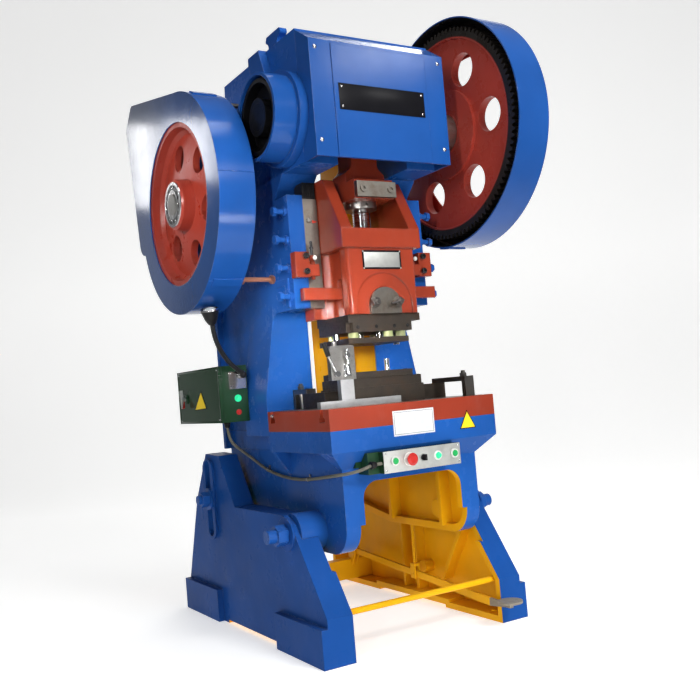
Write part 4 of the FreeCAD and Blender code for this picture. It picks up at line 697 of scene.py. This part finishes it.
# Points along a line, as near to the gap apart as fits a whole number of steps.
def spaced(line, gap):
    lengths = [0.0]
    for first, second in zip(line, line[1:]):
        lengths.append(lengths[-1] + (second - first).length)
    count = max(2, round(lengths[-1] / gap))
    spots = []
    index = 0
    for step in range(count + 1):
        reach = lengths[-1] * step / count
        while index < len(lengths) - 2 and lengths[index + 1] < reach:
            index += 1
        share = (reach - lengths[index]) / max(1e-9, lengths[index + 1] - lengths[index])
        spots.append(line[index].lerp(line[index + 1], min(1.0, max(0.0, share))))
    return spots


spots = spaced(smoothRoute("conduitLine", conduitRoute), sleeve["gap"])
form = bmesh.new()
addRibbedTube(form, spots, sleeve, 14)
conduitSleeve = finish("conduitSleeve", form, conduitGrey, "frame")
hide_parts("conduit")

# Its gland at each end, and the two clips that hold it to the frame.
glandProfile = [(0.0, 0.0), (0.0, 0.013), (0.008, 0.013), (0.009, 0.011), (0.018, 0.011), (0.022, 0.0085),
                (0.022, 0.0)]
glands = [(conduitRoute[0], (0, 0, -1)), ((-0.2205, -0.6255, 0.646), (1, 0, 0.05))]
clip = {"along": (0.30, 0.62), "inner": 0.0066, "outer": 0.0078, "wide": 0.008, "footX": -0.291,
        "footUp": 0.012, "footLow": (0.004, 0.004, 0.012), "footHigh": (0.001, 0.004, 0.006), "edge": 0.0006}
form = bmesh.new()
for spot, direction in glands:
    addLathe(form, spot, direction, glandProfile, 16)
finish("conduitGlands", form, blackPlastic, "frame")
form = bmesh.new()
for share in clip["along"]:
    index = round(len(spots) * share)
    along = (spots[index + 2] - spots[index - 2]).normalized()
    addLathe(form, spots[index] - along * clip["wide"] / 2, along, [
        (0.0, clip["inner"]), (0.0, clip["outer"]), (clip["wide"], clip["outer"]),
        (clip["wide"], clip["inner"])], 16)
    foot = Vector((clip["footX"], spots[index].y, spots[index].z + clip["footUp"]))
    addBox(form, foot - Vector(clip["footLow"]), foot + Vector(clip["footHigh"]), clip["edge"])
finish("conduitClips", form, machinedSteel, "frame")
print("conduit made")

# Work lamp: ribs on its neck, and a bulb in its bright cup.
neckRoute = [
    (-0.385, -0.005, 1.006), (-0.410, -0.009, 1.022), (-0.441, -0.016, 1.046), (-0.469, -0.025, 1.079),
    (-0.495, -0.038, 1.117), (-0.512, -0.051, 1.158), (-0.520, -0.060, 1.196),
]
neck = {"radius": 0.0098, "groove": 0.0012, "gap": 0.0025}
lampCup = {"rim": 0.0365, "rimHeight": 0.006, "mouth": 0.033, "throat": 0.021, "depth": 0.028,
           "floor": 0.030, "reach": 0.055}
lampBulb = {"radius": 0.030, "height": 0.022, "reach": 0.045}
form = bmesh.new()
addRibbedTube(form, spaced(smoothRoute("neckLine", neckRoute), neck["gap"]), neck, 16)
finish("lampNeck", form, blackPlastic, "frame")
lampBase = Vector(neckRoute[-1])
lampWay = (lampBase - Vector(neckRoute[-2])).normalized()
form = bmesh.new()
addLathe(form, lampBase + lampWay * lampCup["reach"], lampWay, [
    (0.0, lampCup["rim"]), (lampCup["rimHeight"], lampCup["rim"]), (lampCup["rimHeight"], lampCup["mouth"]),
    (0.0, lampCup["mouth"]), (-lampCup["depth"], lampCup["throat"]), (-lampCup["floor"], 0.0)])
finish("lampReflector", form, polishedSteel, "frame")
form = bmesh.new()
domeHead(form, lampBase + lampWay * lampBulb["reach"], lampWay, lampBulb["radius"], lampBulb["height"])
finish("lampBulb", form, lampGlass, "frame")
print("lamp made")

# The flywheel's hub: an open roller bearing, its cage, and the cap in its bore.
wheelHub = {"outer": 0.088, "cage": 0.076, "inner": 0.056, "bore": 0.041, "outerHeight": 0.003,
            "innerHeight": 0.0035, "floor": 0.0005, "chamfer": 0.001, "rollers": 14, "roller": 0.0075,
            "rollerHeight": 0.0025, "rollerOut": 0.0004, "cageOut": 0.0006, "cageHeight": 0.0004,
            "cageGap": 0.0005}
hubCap = {"dish": 0.024, "dishFloor": 0.022, "height": 0.002, "in": 0.001, "nut": 0.018, "nutHeight": 0.003,
          "nutOut": 0.0002}
hubSpot = Vector((leftOf("flywheel"), wheelAxis.y, wheelAxis.z))
form = bmesh.new()
addLathe(form, hubSpot, toLeft, [
    (0.0, wheelHub["outer"]), (wheelHub["outerHeight"], wheelHub["outer"] - wheelHub["chamfer"]),
    (wheelHub["outerHeight"], wheelHub["cage"]), (wheelHub["floor"], wheelHub["cage"]),
    (wheelHub["floor"], wheelHub["inner"]), (wheelHub["innerHeight"], wheelHub["inner"]),
    (wheelHub["innerHeight"], wheelHub["bore"]), (0.0, wheelHub["bore"])], 48)
rollerReach = (wheelHub["cage"] + wheelHub["inner"]) / 2
for step in range(wheelHub["rollers"]):
    angle = 2 * math.pi * step / wheelHub["rollers"]
    outward = Vector((0, rollerReach * math.cos(angle), rollerReach * math.sin(angle)))
    domeHead(form, hubSpot + outward + toLeft * wheelHub["rollerOut"], toLeft, wheelHub["roller"],
             wheelHub["rollerHeight"])
finish("hubBearing", form, polishedSteel, "flywheel_set")
form = bmesh.new()
addCollar(form, hubSpot + toLeft * wheelHub["cageOut"], toLeft, wheelHub["cage"] - wheelHub["cageGap"],
          wheelHub["inner"] + wheelHub["cageGap"], wheelHub["cageHeight"], 48)
finish("hubCage", form, blackIron, "flywheel_set")
form = bmesh.new()
capRadius = wheelHub["bore"] - wheelHub["chamfer"]
addLathe(form, hubSpot + toRight * hubCap["in"], toLeft, [
    (0.0, capRadius), (hubCap["height"], capRadius), (hubCap["height"], hubCap["dish"]),
    (wheelHub["floor"], hubCap["dishFloor"]), (wheelHub["floor"], 0.0)], 40)
hexHead(form, hubSpot + toLeft * hubCap["nutOut"], toLeft, hubCap["nut"], hubCap["nutHeight"])
finish("hubCentre", form, blackIron, "flywheel_set")

# Guards: a lip under the gear's cover, and two on the flywheel's. Degrees run from the rear over the top.
wheelCover = {"axis": wheelAxis, "radius": toTenth(wheelAxis.z - bottomOf("flywheel_cover"))}
gearCover = {"axis": gearAxis, "radius": toTenth(topOf("gear_cover") - gearAxis.z)}
guardLips = [
    {"cover": gearCover, "left": 0.436, "right": 0.520, "degrees": -82.0, "spread": 4.0, "thick": 0.006},
    {"cover": wheelCover, "left": -0.560, "right": -0.446, "degrees": 233.0, "spread": 2.6, "thick": 0.005},
    {"cover": wheelCover, "left": -0.556, "right": -0.462, "degrees": 115.6, "spread": 3.0, "thick": 0.006},
]
lipSunk = 0.001   # a lip starts this far inside the cover's sheet


def coverPoint(cover, x, degrees, lift=0.0):
    angle = math.radians(degrees)
    reach = cover["radius"] + lift
    return Vector((x, cover["axis"].y + reach * math.cos(angle), cover["axis"].z + reach * math.sin(angle)))


def addLip(form, lip, steps=6):
    rows = []
    for x in (lip["left"], lip["right"]):
        for lift in (-lipSunk, lip["thick"] - lipSunk):
            turns = [lip["degrees"] + lip["spread"] * (2 * step / steps - 1) for step in range(steps + 1)]
            rows.append([form.verts.new(coverPoint(lip["cover"], x, degrees, lift)) for degrees in turns])
    for first, second in ((0, 1), (1, 3), (3, 2), (2, 0)):
        for step in range(steps):
            form.faces.new([rows[first][step], rows[first][step + 1],
                            rows[second][step + 1], rows[second][step]])
    for step in (0, steps):
        form.faces.new([rows[0][step], rows[1][step], rows[3][step], rows[2][step]])


form = bmesh.new()
for lip in guardLips:
    addLip(form, lip)
finish("guardLips", form, guardPaint, "frame")

# Weld beads: across the flywheel's cover, along the table, and over the legs' foot pads.
bead = {"radius": 0.0024, "groove": 0.000672, "gap": 0.004, "coverIn": 0.001, "coverDegrees": (176.0, 232.0),
        "tableLeft": [(-0.298, -0.218, 0.775), (-0.298, -0.10, 0.7735), (-0.298, 0.38, 0.7735)],
        "tableX": 0.2905, "tableZ": 0.6965, "tableYs": (-0.544, -0.25, 0.38),
        "padX": 0.4165, "padZ": 0.1305, "padYs": ((-0.588, -0.242), (0.298, 0.612))}


def addBead(form, points):
    addRibbedTube(form, spaced([Vector(point) for point in points], bead["gap"]), bead, 8)


form = bmesh.new()
coverEnds = (leftOf("flywheel_cover") + bead["coverIn"], rightOf("flywheel_cover") - bead["coverIn"])
for degrees in bead["coverDegrees"]:
    addBead(form, [coverPoint(wheelCover, x, degrees) for x in coverEnds])
addBead(form, bead["tableLeft"])
for side in (-1, 1):
    addBead(form, [(side * bead["tableX"], y, bead["tableZ"]) for y in bead["tableYs"]])
    for ends in bead["padYs"]:
        addBead(form, [(side * bead["padX"], y, bead["padZ"]) for y in ends])
finish("weldBeads", form, framePaint, "frame")

# A flat strap beside the left gib's bolts, turned back at its top towards the lower stay rod.
strap = {"inner": -0.2985, "thick": 0.008, "rodY": -0.192, "front": -0.290, "rear": -0.266, "low": 1.228,
         "bend": 1.312, "top": 1.336}
strapOutline = [("front", "low"), ("rear", "low"), ("rear", "bend"), ("rodY", "bend"), ("rodY", "top"),
                ("front", "top")]
form = bmesh.new()
addPrism(form, [(strap["inner"], strap[y], strap[z]) for y, z in strapOutline], toLeft * strap["thick"])
finish("stayStrap", form, framePaint, "frame")
print("guards trimmed")

# Knock-out stops: socket screws in the brackets, and the left stop's oil cup on its stem.
stopScrew = {"xs": bothSides(0.262), "face": frontOf("knockout_brackets"), "zs": (1.350, 1.407),
             "radius": 0.0115, "height": 0.009}
oilCup = {"x": -0.225, "y": -0.345, "stemLow": 1.412, "cupLow": 1.436,
          "stem": [(0.0, 0.005), (0.05, 0.005), (0.054, 0.002), (0.054, 0.0)],
          "cup": [(0.0, 0.008), (0.007, 0.008), (0.007, 0.004)]}
form = bmesh.new()
addFrontHeads(form, screwHead, stopScrew)
addLathe(form, (oilCup["x"], oilCup["y"], oilCup["stemLow"]), toTop, oilCup["stem"], 14)
addLathe(form, (oilCup["x"], oilCup["y"], oilCup["cupLow"]), toTop, oilCup["cup"], 6)
finish("stopScrews", form, blackIron, "frame")
# A white ball on each bracket.
stopBall = {"spots": ((-0.225, 1.400), (0.225, 1.398)), "face": frontOf("knockout_brackets") + 0.0005,
            "radius": 0.0085, "height": 0.007}
form = bmesh.new()
for x, z in stopBall["spots"]:
    domeHead(form, (x, stopBall["face"], z), toFront, stopBall["radius"], stopBall["height"])
finish("stopBalls", form, whitePlastic, "frame")

# Gibs: two socket screws in each, an oil block over the left one, and a red pointer on it.
gibScrew = {"xs": bothSides(0.214), "face": frontOf("left_gib") - 0.0002, "zs": (1.262, 1.549),
            "radius": 0.010, "height": 0.008}
oilBlock = {"left": -0.232, "right": -0.178, "front": frontOf("left_gib") + 0.002, "rear": -0.262,
            "low": topOf("left_gib") + 0.0005, "high": 1.690, "ribHeight": 0.008, "ribs": 6,
            "firstRib": 0.004, "ribGap": 0.0088, "ribWide": 0.0045, "ribProud": 0.003, "edge": 0.001,
            "ribEdge": 0.0006}
pointer = {"left": -0.200, "tip": -0.176, "high": 1.548, "middle": 1.542, "low": 1.536,
           "face": frontOf("left_gib") - 0.0025, "thick": 0.002}
form = bmesh.new()
addFrontHeads(form, screwHead, gibScrew)
finish("gibScrews", form, machinedSteel, "frame")
form = bmesh.new()
addBox(form, (oilBlock["left"], oilBlock["front"], oilBlock["low"]),
       (oilBlock["right"], oilBlock["rear"], oilBlock["high"] - oilBlock["ribHeight"]), oilBlock["edge"])
for step in range(oilBlock["ribs"]):
    x = oilBlock["left"] + oilBlock["firstRib"] + step * oilBlock["ribGap"]
    addBox(form, (x, oilBlock["front"] - oilBlock["ribProud"], oilBlock["low"] + oilBlock["ribProud"]),
           (x + oilBlock["ribWide"], oilBlock["rear"], oilBlock["high"]), oilBlock["ribEdge"])
finish("oilBlock", form, blackPlastic, "frame")
form = bmesh.new()
addPrism(form, [(pointer["left"], pointer["face"], pointer["high"]),
                (pointer["left"], pointer["face"], pointer["low"]),
                (pointer["tip"], pointer["face"], pointer["middle"])], (0, pointer["thick"], 0))
finish("redPointer", form, signRed, "frame")

# The screw's thread, which shows between the lock ring and the slide's well.
thread = {"low": 1.502, "high": 1.581, "radius": 0.0302, "depth": 0.0030, "pitch": 0.009, "start": 0.0005}
threadFoot = middleOf("ball_screw")
threadFoot.z = thread["low"]
form = bmesh.new()
profile = [(0.0, thread["radius"] - thread["start"])]
for step in range(int((thread["high"] - thread["low"]) / thread["pitch"])):
    for share, lift in ((0.1, 0.0), (0.5, thread["depth"]), (0.9, 0.0)):
        profile.append(((step + share) * thread["pitch"], thread["radius"] + lift))
addLathe(form, threadFoot, toTop, profile, 40)
finish("screwThread", form, polishedSteel, "rod")

# Washers and nuts on the shank clamp's two studs, the right one with its short lever.
stud = {"x": 0.050, "face": -0.4742, "z": 1.218, "washer": 0.0185, "washerHeight": 0.003, "across": 0.033,
        "nutHeight": 0.014, "endFrom": 0.015,
        "end": [(0.0, 0.0095), (0.012, 0.0095), (0.014, 0.0075), (0.014, 0.0)]}
studLever = {"startX": 0.064, "startZ": 1.222, "endX": 0.008, "endZ": 1.212, "out": 0.022,
             "radii": (0.0045, 0.005, 0.0055)}
form = bmesh.new()
for x in (-stud["x"], stud["x"]):
    spot = Vector((x, stud["face"], stud["z"]))
    addLathe(form, spot, toFront, [(0.0, stud["washer"]), (stud["washerHeight"], stud["washer"]),
                                   (stud["washerHeight"], 0.0)], 24)
    hexHead(form, spot + toFront * stud["washerHeight"], toFront, stud["across"], stud["nutHeight"])
    addLathe(form, spot + toFront * stud["endFrom"], toFront, stud["end"], 20)
leverY = stud["face"] - studLever["out"]
leverStart = Vector((studLever["startX"], leverY, studLever["startZ"]))
leverEnd = Vector((studLever["endX"], leverY, studLever["endZ"]))
addTube(form, [leverStart, leverStart.lerp(leverEnd, 0.5), leverEnd], studLever["radii"])
finish("studNuts", form, darkSteel, "ram")

# Control panel: a bezel round each button, the lamp and the stop button, and its four screws.
panel = {"face": frontOf("control_face") + 0.003, "row": middleOf("start_button_left").z, "lampX": 0.050}
startBezel = {"back": 0.003, "outer": 0.0165, "inner": 0.0118, "rim": 0.002, "height": 0.0045,
              "chamfer": 0.002}
lampBezel = {"back": 0.0, "outer": 0.0165, "inner": 0.0118, "rim": 0.003, "height": 0.005, "chamfer": 0.002}
stopBezel = {"back": 0.0, "outer": 0.024, "inner": 0.012, "rim": 0.002, "height": 0.0035, "chamfer": 0.0015}
bezels = [(middleOf("start_button_left").x, startBezel), (middleOf("start_button_right").x, startBezel),
          (panel["lampX"], lampBezel), (middleOf("stop_button").x, stopBezel)]
form = bmesh.new()
for x, bezel in bezels:
    addLathe(form, (x, panel["face"] - bezel["back"], panel["row"]), toFront, [
        (0.0, bezel["outer"]), (bezel["rim"], bezel["outer"]),
        (bezel["height"], bezel["outer"] - bezel["chamfer"]), (bezel["height"], bezel["inner"]),
        (0.0, bezel["inner"])])
finish("panelBezels", form, whitePlastic, "frame")
# The panel's screws, with those of the lamp's base and of the electric box's door.
panelScrew = {"xs": (-0.168, 0.141), "face": panel["face"], "zs": (0.621, 0.679), "radius": 0.0032,
              "height": 0.002}
lampScrew = {"xs": (-0.430, -0.374), "face": 0.013, "zs": (1.008, 0.954), "radius": 0.004, "height": 0.003}
doorScrew = {"ys": (0.043, 0.462), "zs": (0.832, 1.026), "radius": 0.004, "height": 0.0025}
form = bmesh.new()
for screw in (panelScrew, lampScrew):
    addFrontHeads(form, domeHead, screw)
finish("panelScrews", form, polishedSteel, "frame")
form = bmesh.new()
for y in doorScrew["ys"]:
    for z in doorScrew["zs"]:
        domeHead(form, (doorFace, y, z), toLeft, doorScrew["radius"], doorScrew["height"])
finish("doorScrews", form, polishedSteel, "door")

# Electric box: the red button on its front, both green lenses, and the folded edge of its door.
boxButton = {"spot": (-0.401, rearOf("lamp_arm"), 0.856),
             "profile": [(0.0, 0.011), (0.003, 0.011), (0.003, 0.007), (0.008, 0.0065), (0.009, 0.0)]}
lens = {"spots": [(panel["lampX"], panel["face"] - 0.012, panel["row"]), (-0.401, 0.012, 0.910)],
        "radius": 0.0082, "height": 0.003}
doorEdge = {"out": 0.0002, "in": 0.0002, "front": rearOf("lamp_arm"), "rear": rearOf("electric_door"),
            "low": bottomOf("electric_door"), "high": topOf("electric_door"), "wide": 0.009, "proud": 0.0012,
            "sunk": 0.0005}
form = bmesh.new()
addLathe(form, boxButton["spot"], toFront, boxButton["profile"], 20)
finish("boxButton", form, buttonRed, "frame")
form = bmesh.new()
for spot in lens["spots"]:
    domeHead(form, spot, toFront, lens["radius"], lens["height"])
finish("lampLenses", form, lampGlow, "frame")
form = bmesh.new()
edgeX = doorFace - doorEdge["out"]
inset = doorEdge["in"]
for low, high in borderStrips(doorEdge["front"] + inset, doorEdge["rear"] - inset,
                              doorEdge["low"] + inset, doorEdge["high"] - inset, doorEdge["wide"]):
    addBox(form, (edgeX - doorEdge["proud"], low[0], low[1]), (edgeX + doorEdge["sunk"], high[0], high[1]),
           doorEdge["sunk"])
finish("doorEdge", form, boxPaint, "door")
print("controls made")

# Die set: screws in the punch plate's front, in the die and in its base, and the die's inserts.
dieTop = bolsterTop + 0.120
baseTop = bolsterTop + 0.097
upperScrew = {"xs": (-0.120, -0.04, 0.04, 0.10), "face": frontOf("upper_die"), "zs": (1.131,),
              "radius": 0.007, "height": 0.0015}
dieScrew = {"spots": ((-0.146, -0.43), (-0.146, -0.26), (0.09, -0.43), (0.09, -0.26)), "radius": 0.009,
            "height": 0.0012}
baseScrew = {"spots": ((-0.155, -0.44), (0.135, -0.44)), "radius": 0.008, "height": 0.0012}
dieInsert = {"spots": ((-0.02, -0.38), (0.03, -0.34), (-0.09, -0.34)), "outer": 0.012, "inner": 0.007,
             "height": 0.0012}
form = bmesh.new()
addFrontHeads(form, screwHead, upperScrew)
finish("upperDieScrews", form, blackIron, "ram")
form = bmesh.new()
for screw, top in ((dieScrew, dieTop), (baseScrew, baseTop)):
    for x, y in screw["spots"]:
        screwHead(form, (x, y, top), toTop, screw["radius"], screw["height"])
finish("dieScrews", form, blackIron, "frame")
form = bmesh.new()
for x, y in dieInsert["spots"]:
    addCollar(form, (x, y, dieTop), toTop, dieInsert["outer"], dieInsert["inner"], dieInsert["height"], 24)
finish("dieInserts", form, polishedSteel, "frame")

# Fixture: the ring, the strap and the plunger with its nut on the front of the bracket.
fixture = {"x": -0.200, "ringY": frontOf("fixture_bracket"), "ringZ": 1.030, "ringOuter": 0.011,
           "ringInner": 0.004, "ringHeight": 0.006, "strapLow": (-0.214, -0.492, 0.955),
           "strapHigh": (-0.186, -0.484, 1.0), "edge": 0.001, "plungerY": -0.497, "plungerLow": 0.962,
           "plunger": [(0.0, 0.0055), (0.085, 0.0055), (0.09, 0.004), (0.09, 0.0)], "nutLow": 0.985,
           "nut": [(0.0, 0.009), (0.014, 0.009), (0.014, 0.0055)]}
form = bmesh.new()
addCollar(form, (fixture["x"], fixture["ringY"], fixture["ringZ"]), toFront, fixture["ringOuter"],
          fixture["ringInner"], fixture["ringHeight"])
addBox(form, fixture["strapLow"], fixture["strapHigh"], fixture["edge"])
addLathe(form, (fixture["x"], fixture["plungerY"], fixture["plungerLow"]), toTop, fixture["plunger"], 16)
addLathe(form, (fixture["x"], fixture["plungerY"], fixture["nutLow"]), toTop, fixture["nut"], 6)
finish("fixtureClamp", form, polishedSteel, "frame")

# Oil nipples on the left end of the bolster and on the hood's left side.
nipples = [
    {"spot": (leftOf("bolster_plate"), -0.181, 0.833),
     "profile": [(0.0, 0.006), (0.004, 0.006), (0.006, 0.003), (0.010, 0.004), (0.012, 0.0)]},
    {"spot": (leftOf("hood") - 0.0005, -0.487, 1.858),
     "profile": [(0.0, 0.006), (0.004, 0.006), (0.014, 0.0035), (0.018, 0.004), (0.020, 0.0)]},
]
form = bmesh.new()
for nipple in nipples:
    addLathe(form, nipple["spot"], toLeft, nipple["profile"], 12)
finish("oilNipples", form, polishedSteel, "frame")
print("die dressed")

# Motor: the rings and spokes of its fan grille.
grille = {"radii": (0.03, 0.05, 0.07, 0.09), "wire": 0.003, "chamfer": 0.001, "spokes": 8, "spoke": 0.002,
          "spokeFrom": 0.02, "spokeTo": 0.1, "spokeOut": 0.0015}
grilleSpot = middleOf("motor_pulley")
grilleSpot.x = rightOf("motor")
form = bmesh.new()
for radius in grille["radii"]:
    top = grille["wire"] - grille["chamfer"]
    addLathe(form, grilleSpot, toRight, [
        (0.0, radius + grille["wire"]), (grille["wire"], radius + top), (grille["wire"], radius - top),
        (0.0, radius - grille["wire"])], 40)
for step in range(grille["spokes"]):
    angle = 2 * math.pi * step / grille["spokes"]
    way = Vector((0, math.cos(angle), math.sin(angle)))
    start = grilleSpot + toRight * grille["spokeOut"]
    reaches = (grille["spokeFrom"], (grille["spokeFrom"] + grille["spokeTo"]) / 2, grille["spokeTo"])
    addTube(form, [start + way * reach for reach in reaches], [grille["spoke"]] * 3, 8)
finish("fanGrille", form, framePaint, "frame")
print("motor dressed")

# The camera stands where the photograph's did: degrees, and the focal length on its 700 pixels.
cameraPlace = {"spot": (-1.81524, -3.1943, 0.91322), "azimuth": -31.1216, "elevation": -2.4392,
               "roll": -4.7487, "focalPixels": 889.364, "imagePixels": 700.0, "sensor": 36.0,
               "farthest": 60.0}
azimuth = math.radians(cameraPlace["azimuth"])
elevation = math.radians(cameraPlace["elevation"])
roll = math.radians(cameraPlace["roll"])
back = Vector((math.sin(azimuth) * math.cos(elevation), -math.cos(azimuth) * math.cos(elevation),
               math.sin(elevation)))
right = (-back).cross(toTop).normalized()
up = right.cross(-back)
rolledRight = right * math.cos(roll) + up * math.sin(roll)
rolledUp = up * math.cos(roll) - right * math.sin(roll)
cameraData = bpy.data.cameras.new("camera")
cameraData.sensor_width = cameraPlace["sensor"]
cameraData.lens = cameraPlace["sensor"] * cameraPlace["focalPixels"] / cameraPlace["imagePixels"]
cameraData.clip_end = cameraPlace["farthest"]
camera = bpy.data.objects.new("camera", cameraData)
scene.collection.objects.link(camera)
turn = Matrix((rolledRight, rolledUp, back)).transposed().to_4x4()
turn.translation = Vector(cameraPlace["spot"])
camera.matrix_world = turn
scene.camera = camera

# The floor sweeps up behind the press, square to the camera's line of sight. Its spread is how far to
# the side of that line a place is, as a share of its distance ahead of the camera.
sweep = {"wide": 9.0, "near": -7.0, "far": 4.2, "bend": 2.2, "rise": 7.0, "below": -0.0005, "steps": 12}
floorLook = {"rough": 0.7, "cloud": 1.5, "dim": (0.74, 0.74, 0.73), "bright": (0.78, 0.78, 0.77),
             "side": (0.36, 0.36, 0.36), "sideFrom": 0.44, "sideTo": 1.0, "glow": 0.56, "sideGlow": 0.08,
             "glowFrom": 0.43, "glowTo": 0.95, "eye": 3.7, "nearest": 0.3}
outline = [(sweep["near"], sweep["below"])]
for step in range(sweep["steps"] + 1):
    angle = math.pi / 2 * step / sweep["steps"]
    outline.append((sweep["far"] + sweep["bend"] * math.sin(angle),
                    sweep["below"] + sweep["bend"] * (1.0 - math.cos(angle))))
outline.append((sweep["far"] + sweep["bend"], sweep["rise"]))
form = bmesh.new()
sides = [[form.verts.new((x, y, z)) for y, z in outline] for x in (-sweep["wide"], sweep["wide"])]
for step in range(len(outline) - 1):
    form.faces.new([sides[0][step], sides[1][step], sides[1][step + 1], sides[0][step + 1]])
bmesh.ops.rotate(form, verts=form.verts, cent=(0, 0, 0), matrix=Matrix.Rotation(azimuth, 3, "Z"))
data = bpy.data.meshes.new("floor")
form.to_mesh(data)
form.free()
data.polygons.foreach_set("use_smooth", [True] * len(data.polygons))
floorMaterial, floorTree, floorShader = newMaterial("paleFloor", floorLook["rough"])
floorSpot = addNode(floorTree, "TexCoord").outputs["Object"]
across = (math.cos(azimuth), math.sin(azimuth), 0.0)
along = (-math.sin(azimuth), math.cos(azimuth), 0.0)
sideways = combine(floorTree, "ABSOLUTE", dot(floorTree, floorSpot, across))
ahead = combine(floorTree, "ADD", dot(floorTree, floorSpot, along), floorLook["eye"])
spread = combine(floorTree, "DIVIDE", sideways, combine(floorTree, "MAXIMUM", ahead, floorLook["nearest"]))
floorTone = blendColour(floorTree, noise(floorTree, floorSpot, floorLook["cloud"]), floorLook["dim"],
                        floorLook["bright"])
floorTone = blendColour(floorTree, ramp(floorTree, spread, floorLook["sideFrom"], floorLook["sideTo"]),
                        floorTone, floorLook["side"])
floorGlow = ramp(floorTree, spread, floorLook["glowFrom"], floorLook["glowTo"], floorLook["glow"],
                 floorLook["sideGlow"])
floorTree.links.new(floorTone, floorShader.inputs["Base Color"])
floorShader.inputs["Emission Color"].default_value = (1.0, 1.0, 1.0, 1.0)
floorTree.links.new(floorGlow, floorShader.inputs["Emission Strength"])
data.materials.append(floorMaterial)
floor = bpy.data.objects.new("floor", data)
scene.collection.objects.link(floor)


# Soft boxes: where each stands, where it aims, its width, height and watts, and how wide it spreads.
def softLight(name, spot, aim, width, height, power, spread=180.0):
    data = bpy.data.lights.new(name, "AREA")
    data.shape = "RECTANGLE"
    data.size = width
    data.size_y = height
    data.energy = power
    data.spread = math.radians(spread)
    item = bpy.data.objects.new(name, data)
    scene.collection.objects.link(item)
    item.location = spot
    item.rotation_euler = (Vector(aim) - Vector(spot)).to_track_quat("-Z", "Y").to_euler()


softLight("frontKey", (0.5, -4.7, 3.5), (0.0, -0.3, 1.2), 1.3, 1.0, 158.0)
softLight("overhead", (-0.2, -1.2, 4.8), (0.0, 0.0, 1.2), 2.0, 1.2, 40.0)
# These are seen in the paint: on the roof, the flywheel's cover, the hood and the rounded edges.
softLight("roofWindow", (1.6, 0.5, 4.6), (0.0, -0.3, 2.1), 1.2, 0.8, 22.0)
softLight("farWindow", (-2.22, 5.2, 3.25), (-0.578, 0.42, 1.9), 0.2, 0.8, 3.0)
softLight("nearWindow", (-2.75, 5.2, 3.45), (-0.578, -0.1, 1.85), 0.4, 0.6, 4.0)
softLight("hoodWindow", (2.75, -4.5, 3.95), (0.1, -0.56, 2.0), 0.9, 0.35, 11.0)
softLight("edgeStrip", (-3.3, -3.4, 1.9), (0.0, -0.3, 1.5), 0.12, 1.6, 8.0, 60.0)
softLight("roofStrip", (2.0, 2.3, 4.4), (0.0, -0.45, 2.17), 1.6, 0.3, 12.0)
# These lift the arch under the table, the gap behind the slide and the flywheel.
softLight("archFill", (0.2, -2.6, 0.5), (0.0, 0.2, 0.35), 1.0, 0.4, 12.0)
softLight("gapFill", (-1.7, -2.9, 1.3), (0.13, 0.2, 1.1), 0.4, 0.4, 1.2, 11.0)
softLight("wheelFill", (-3.2, -1.5, 2.2), (-0.55, 0.07, 1.68), 0.5, 0.5, 1.5, 22.0)

# A dim room, a little lighter towards the right and the front.
room = {"brighter": (0.75, -0.55, 0.35), "from": -0.3, "to": 0.8, "dim": 0.05, "light": 0.22}
world = bpy.data.worlds.new("studio")
scene.world = world
world.use_nodes = True
worldTree = world.node_tree
background = worldTree.nodes["Background"]
direction = addNode(worldTree, "TexCoord").outputs["Generated"]
brightness = ramp(worldTree, dot(worldTree, direction, room["brighter"]), room["from"], room["to"],
                  room["dim"], room["light"])
worldTree.links.new(brightness, background.inputs["Strength"])
background.inputs["Color"].default_value = (1.0, 1.0, 1.0, 1.0)
scene.view_settings.view_transform = "Standard"
print("camera and light placed")
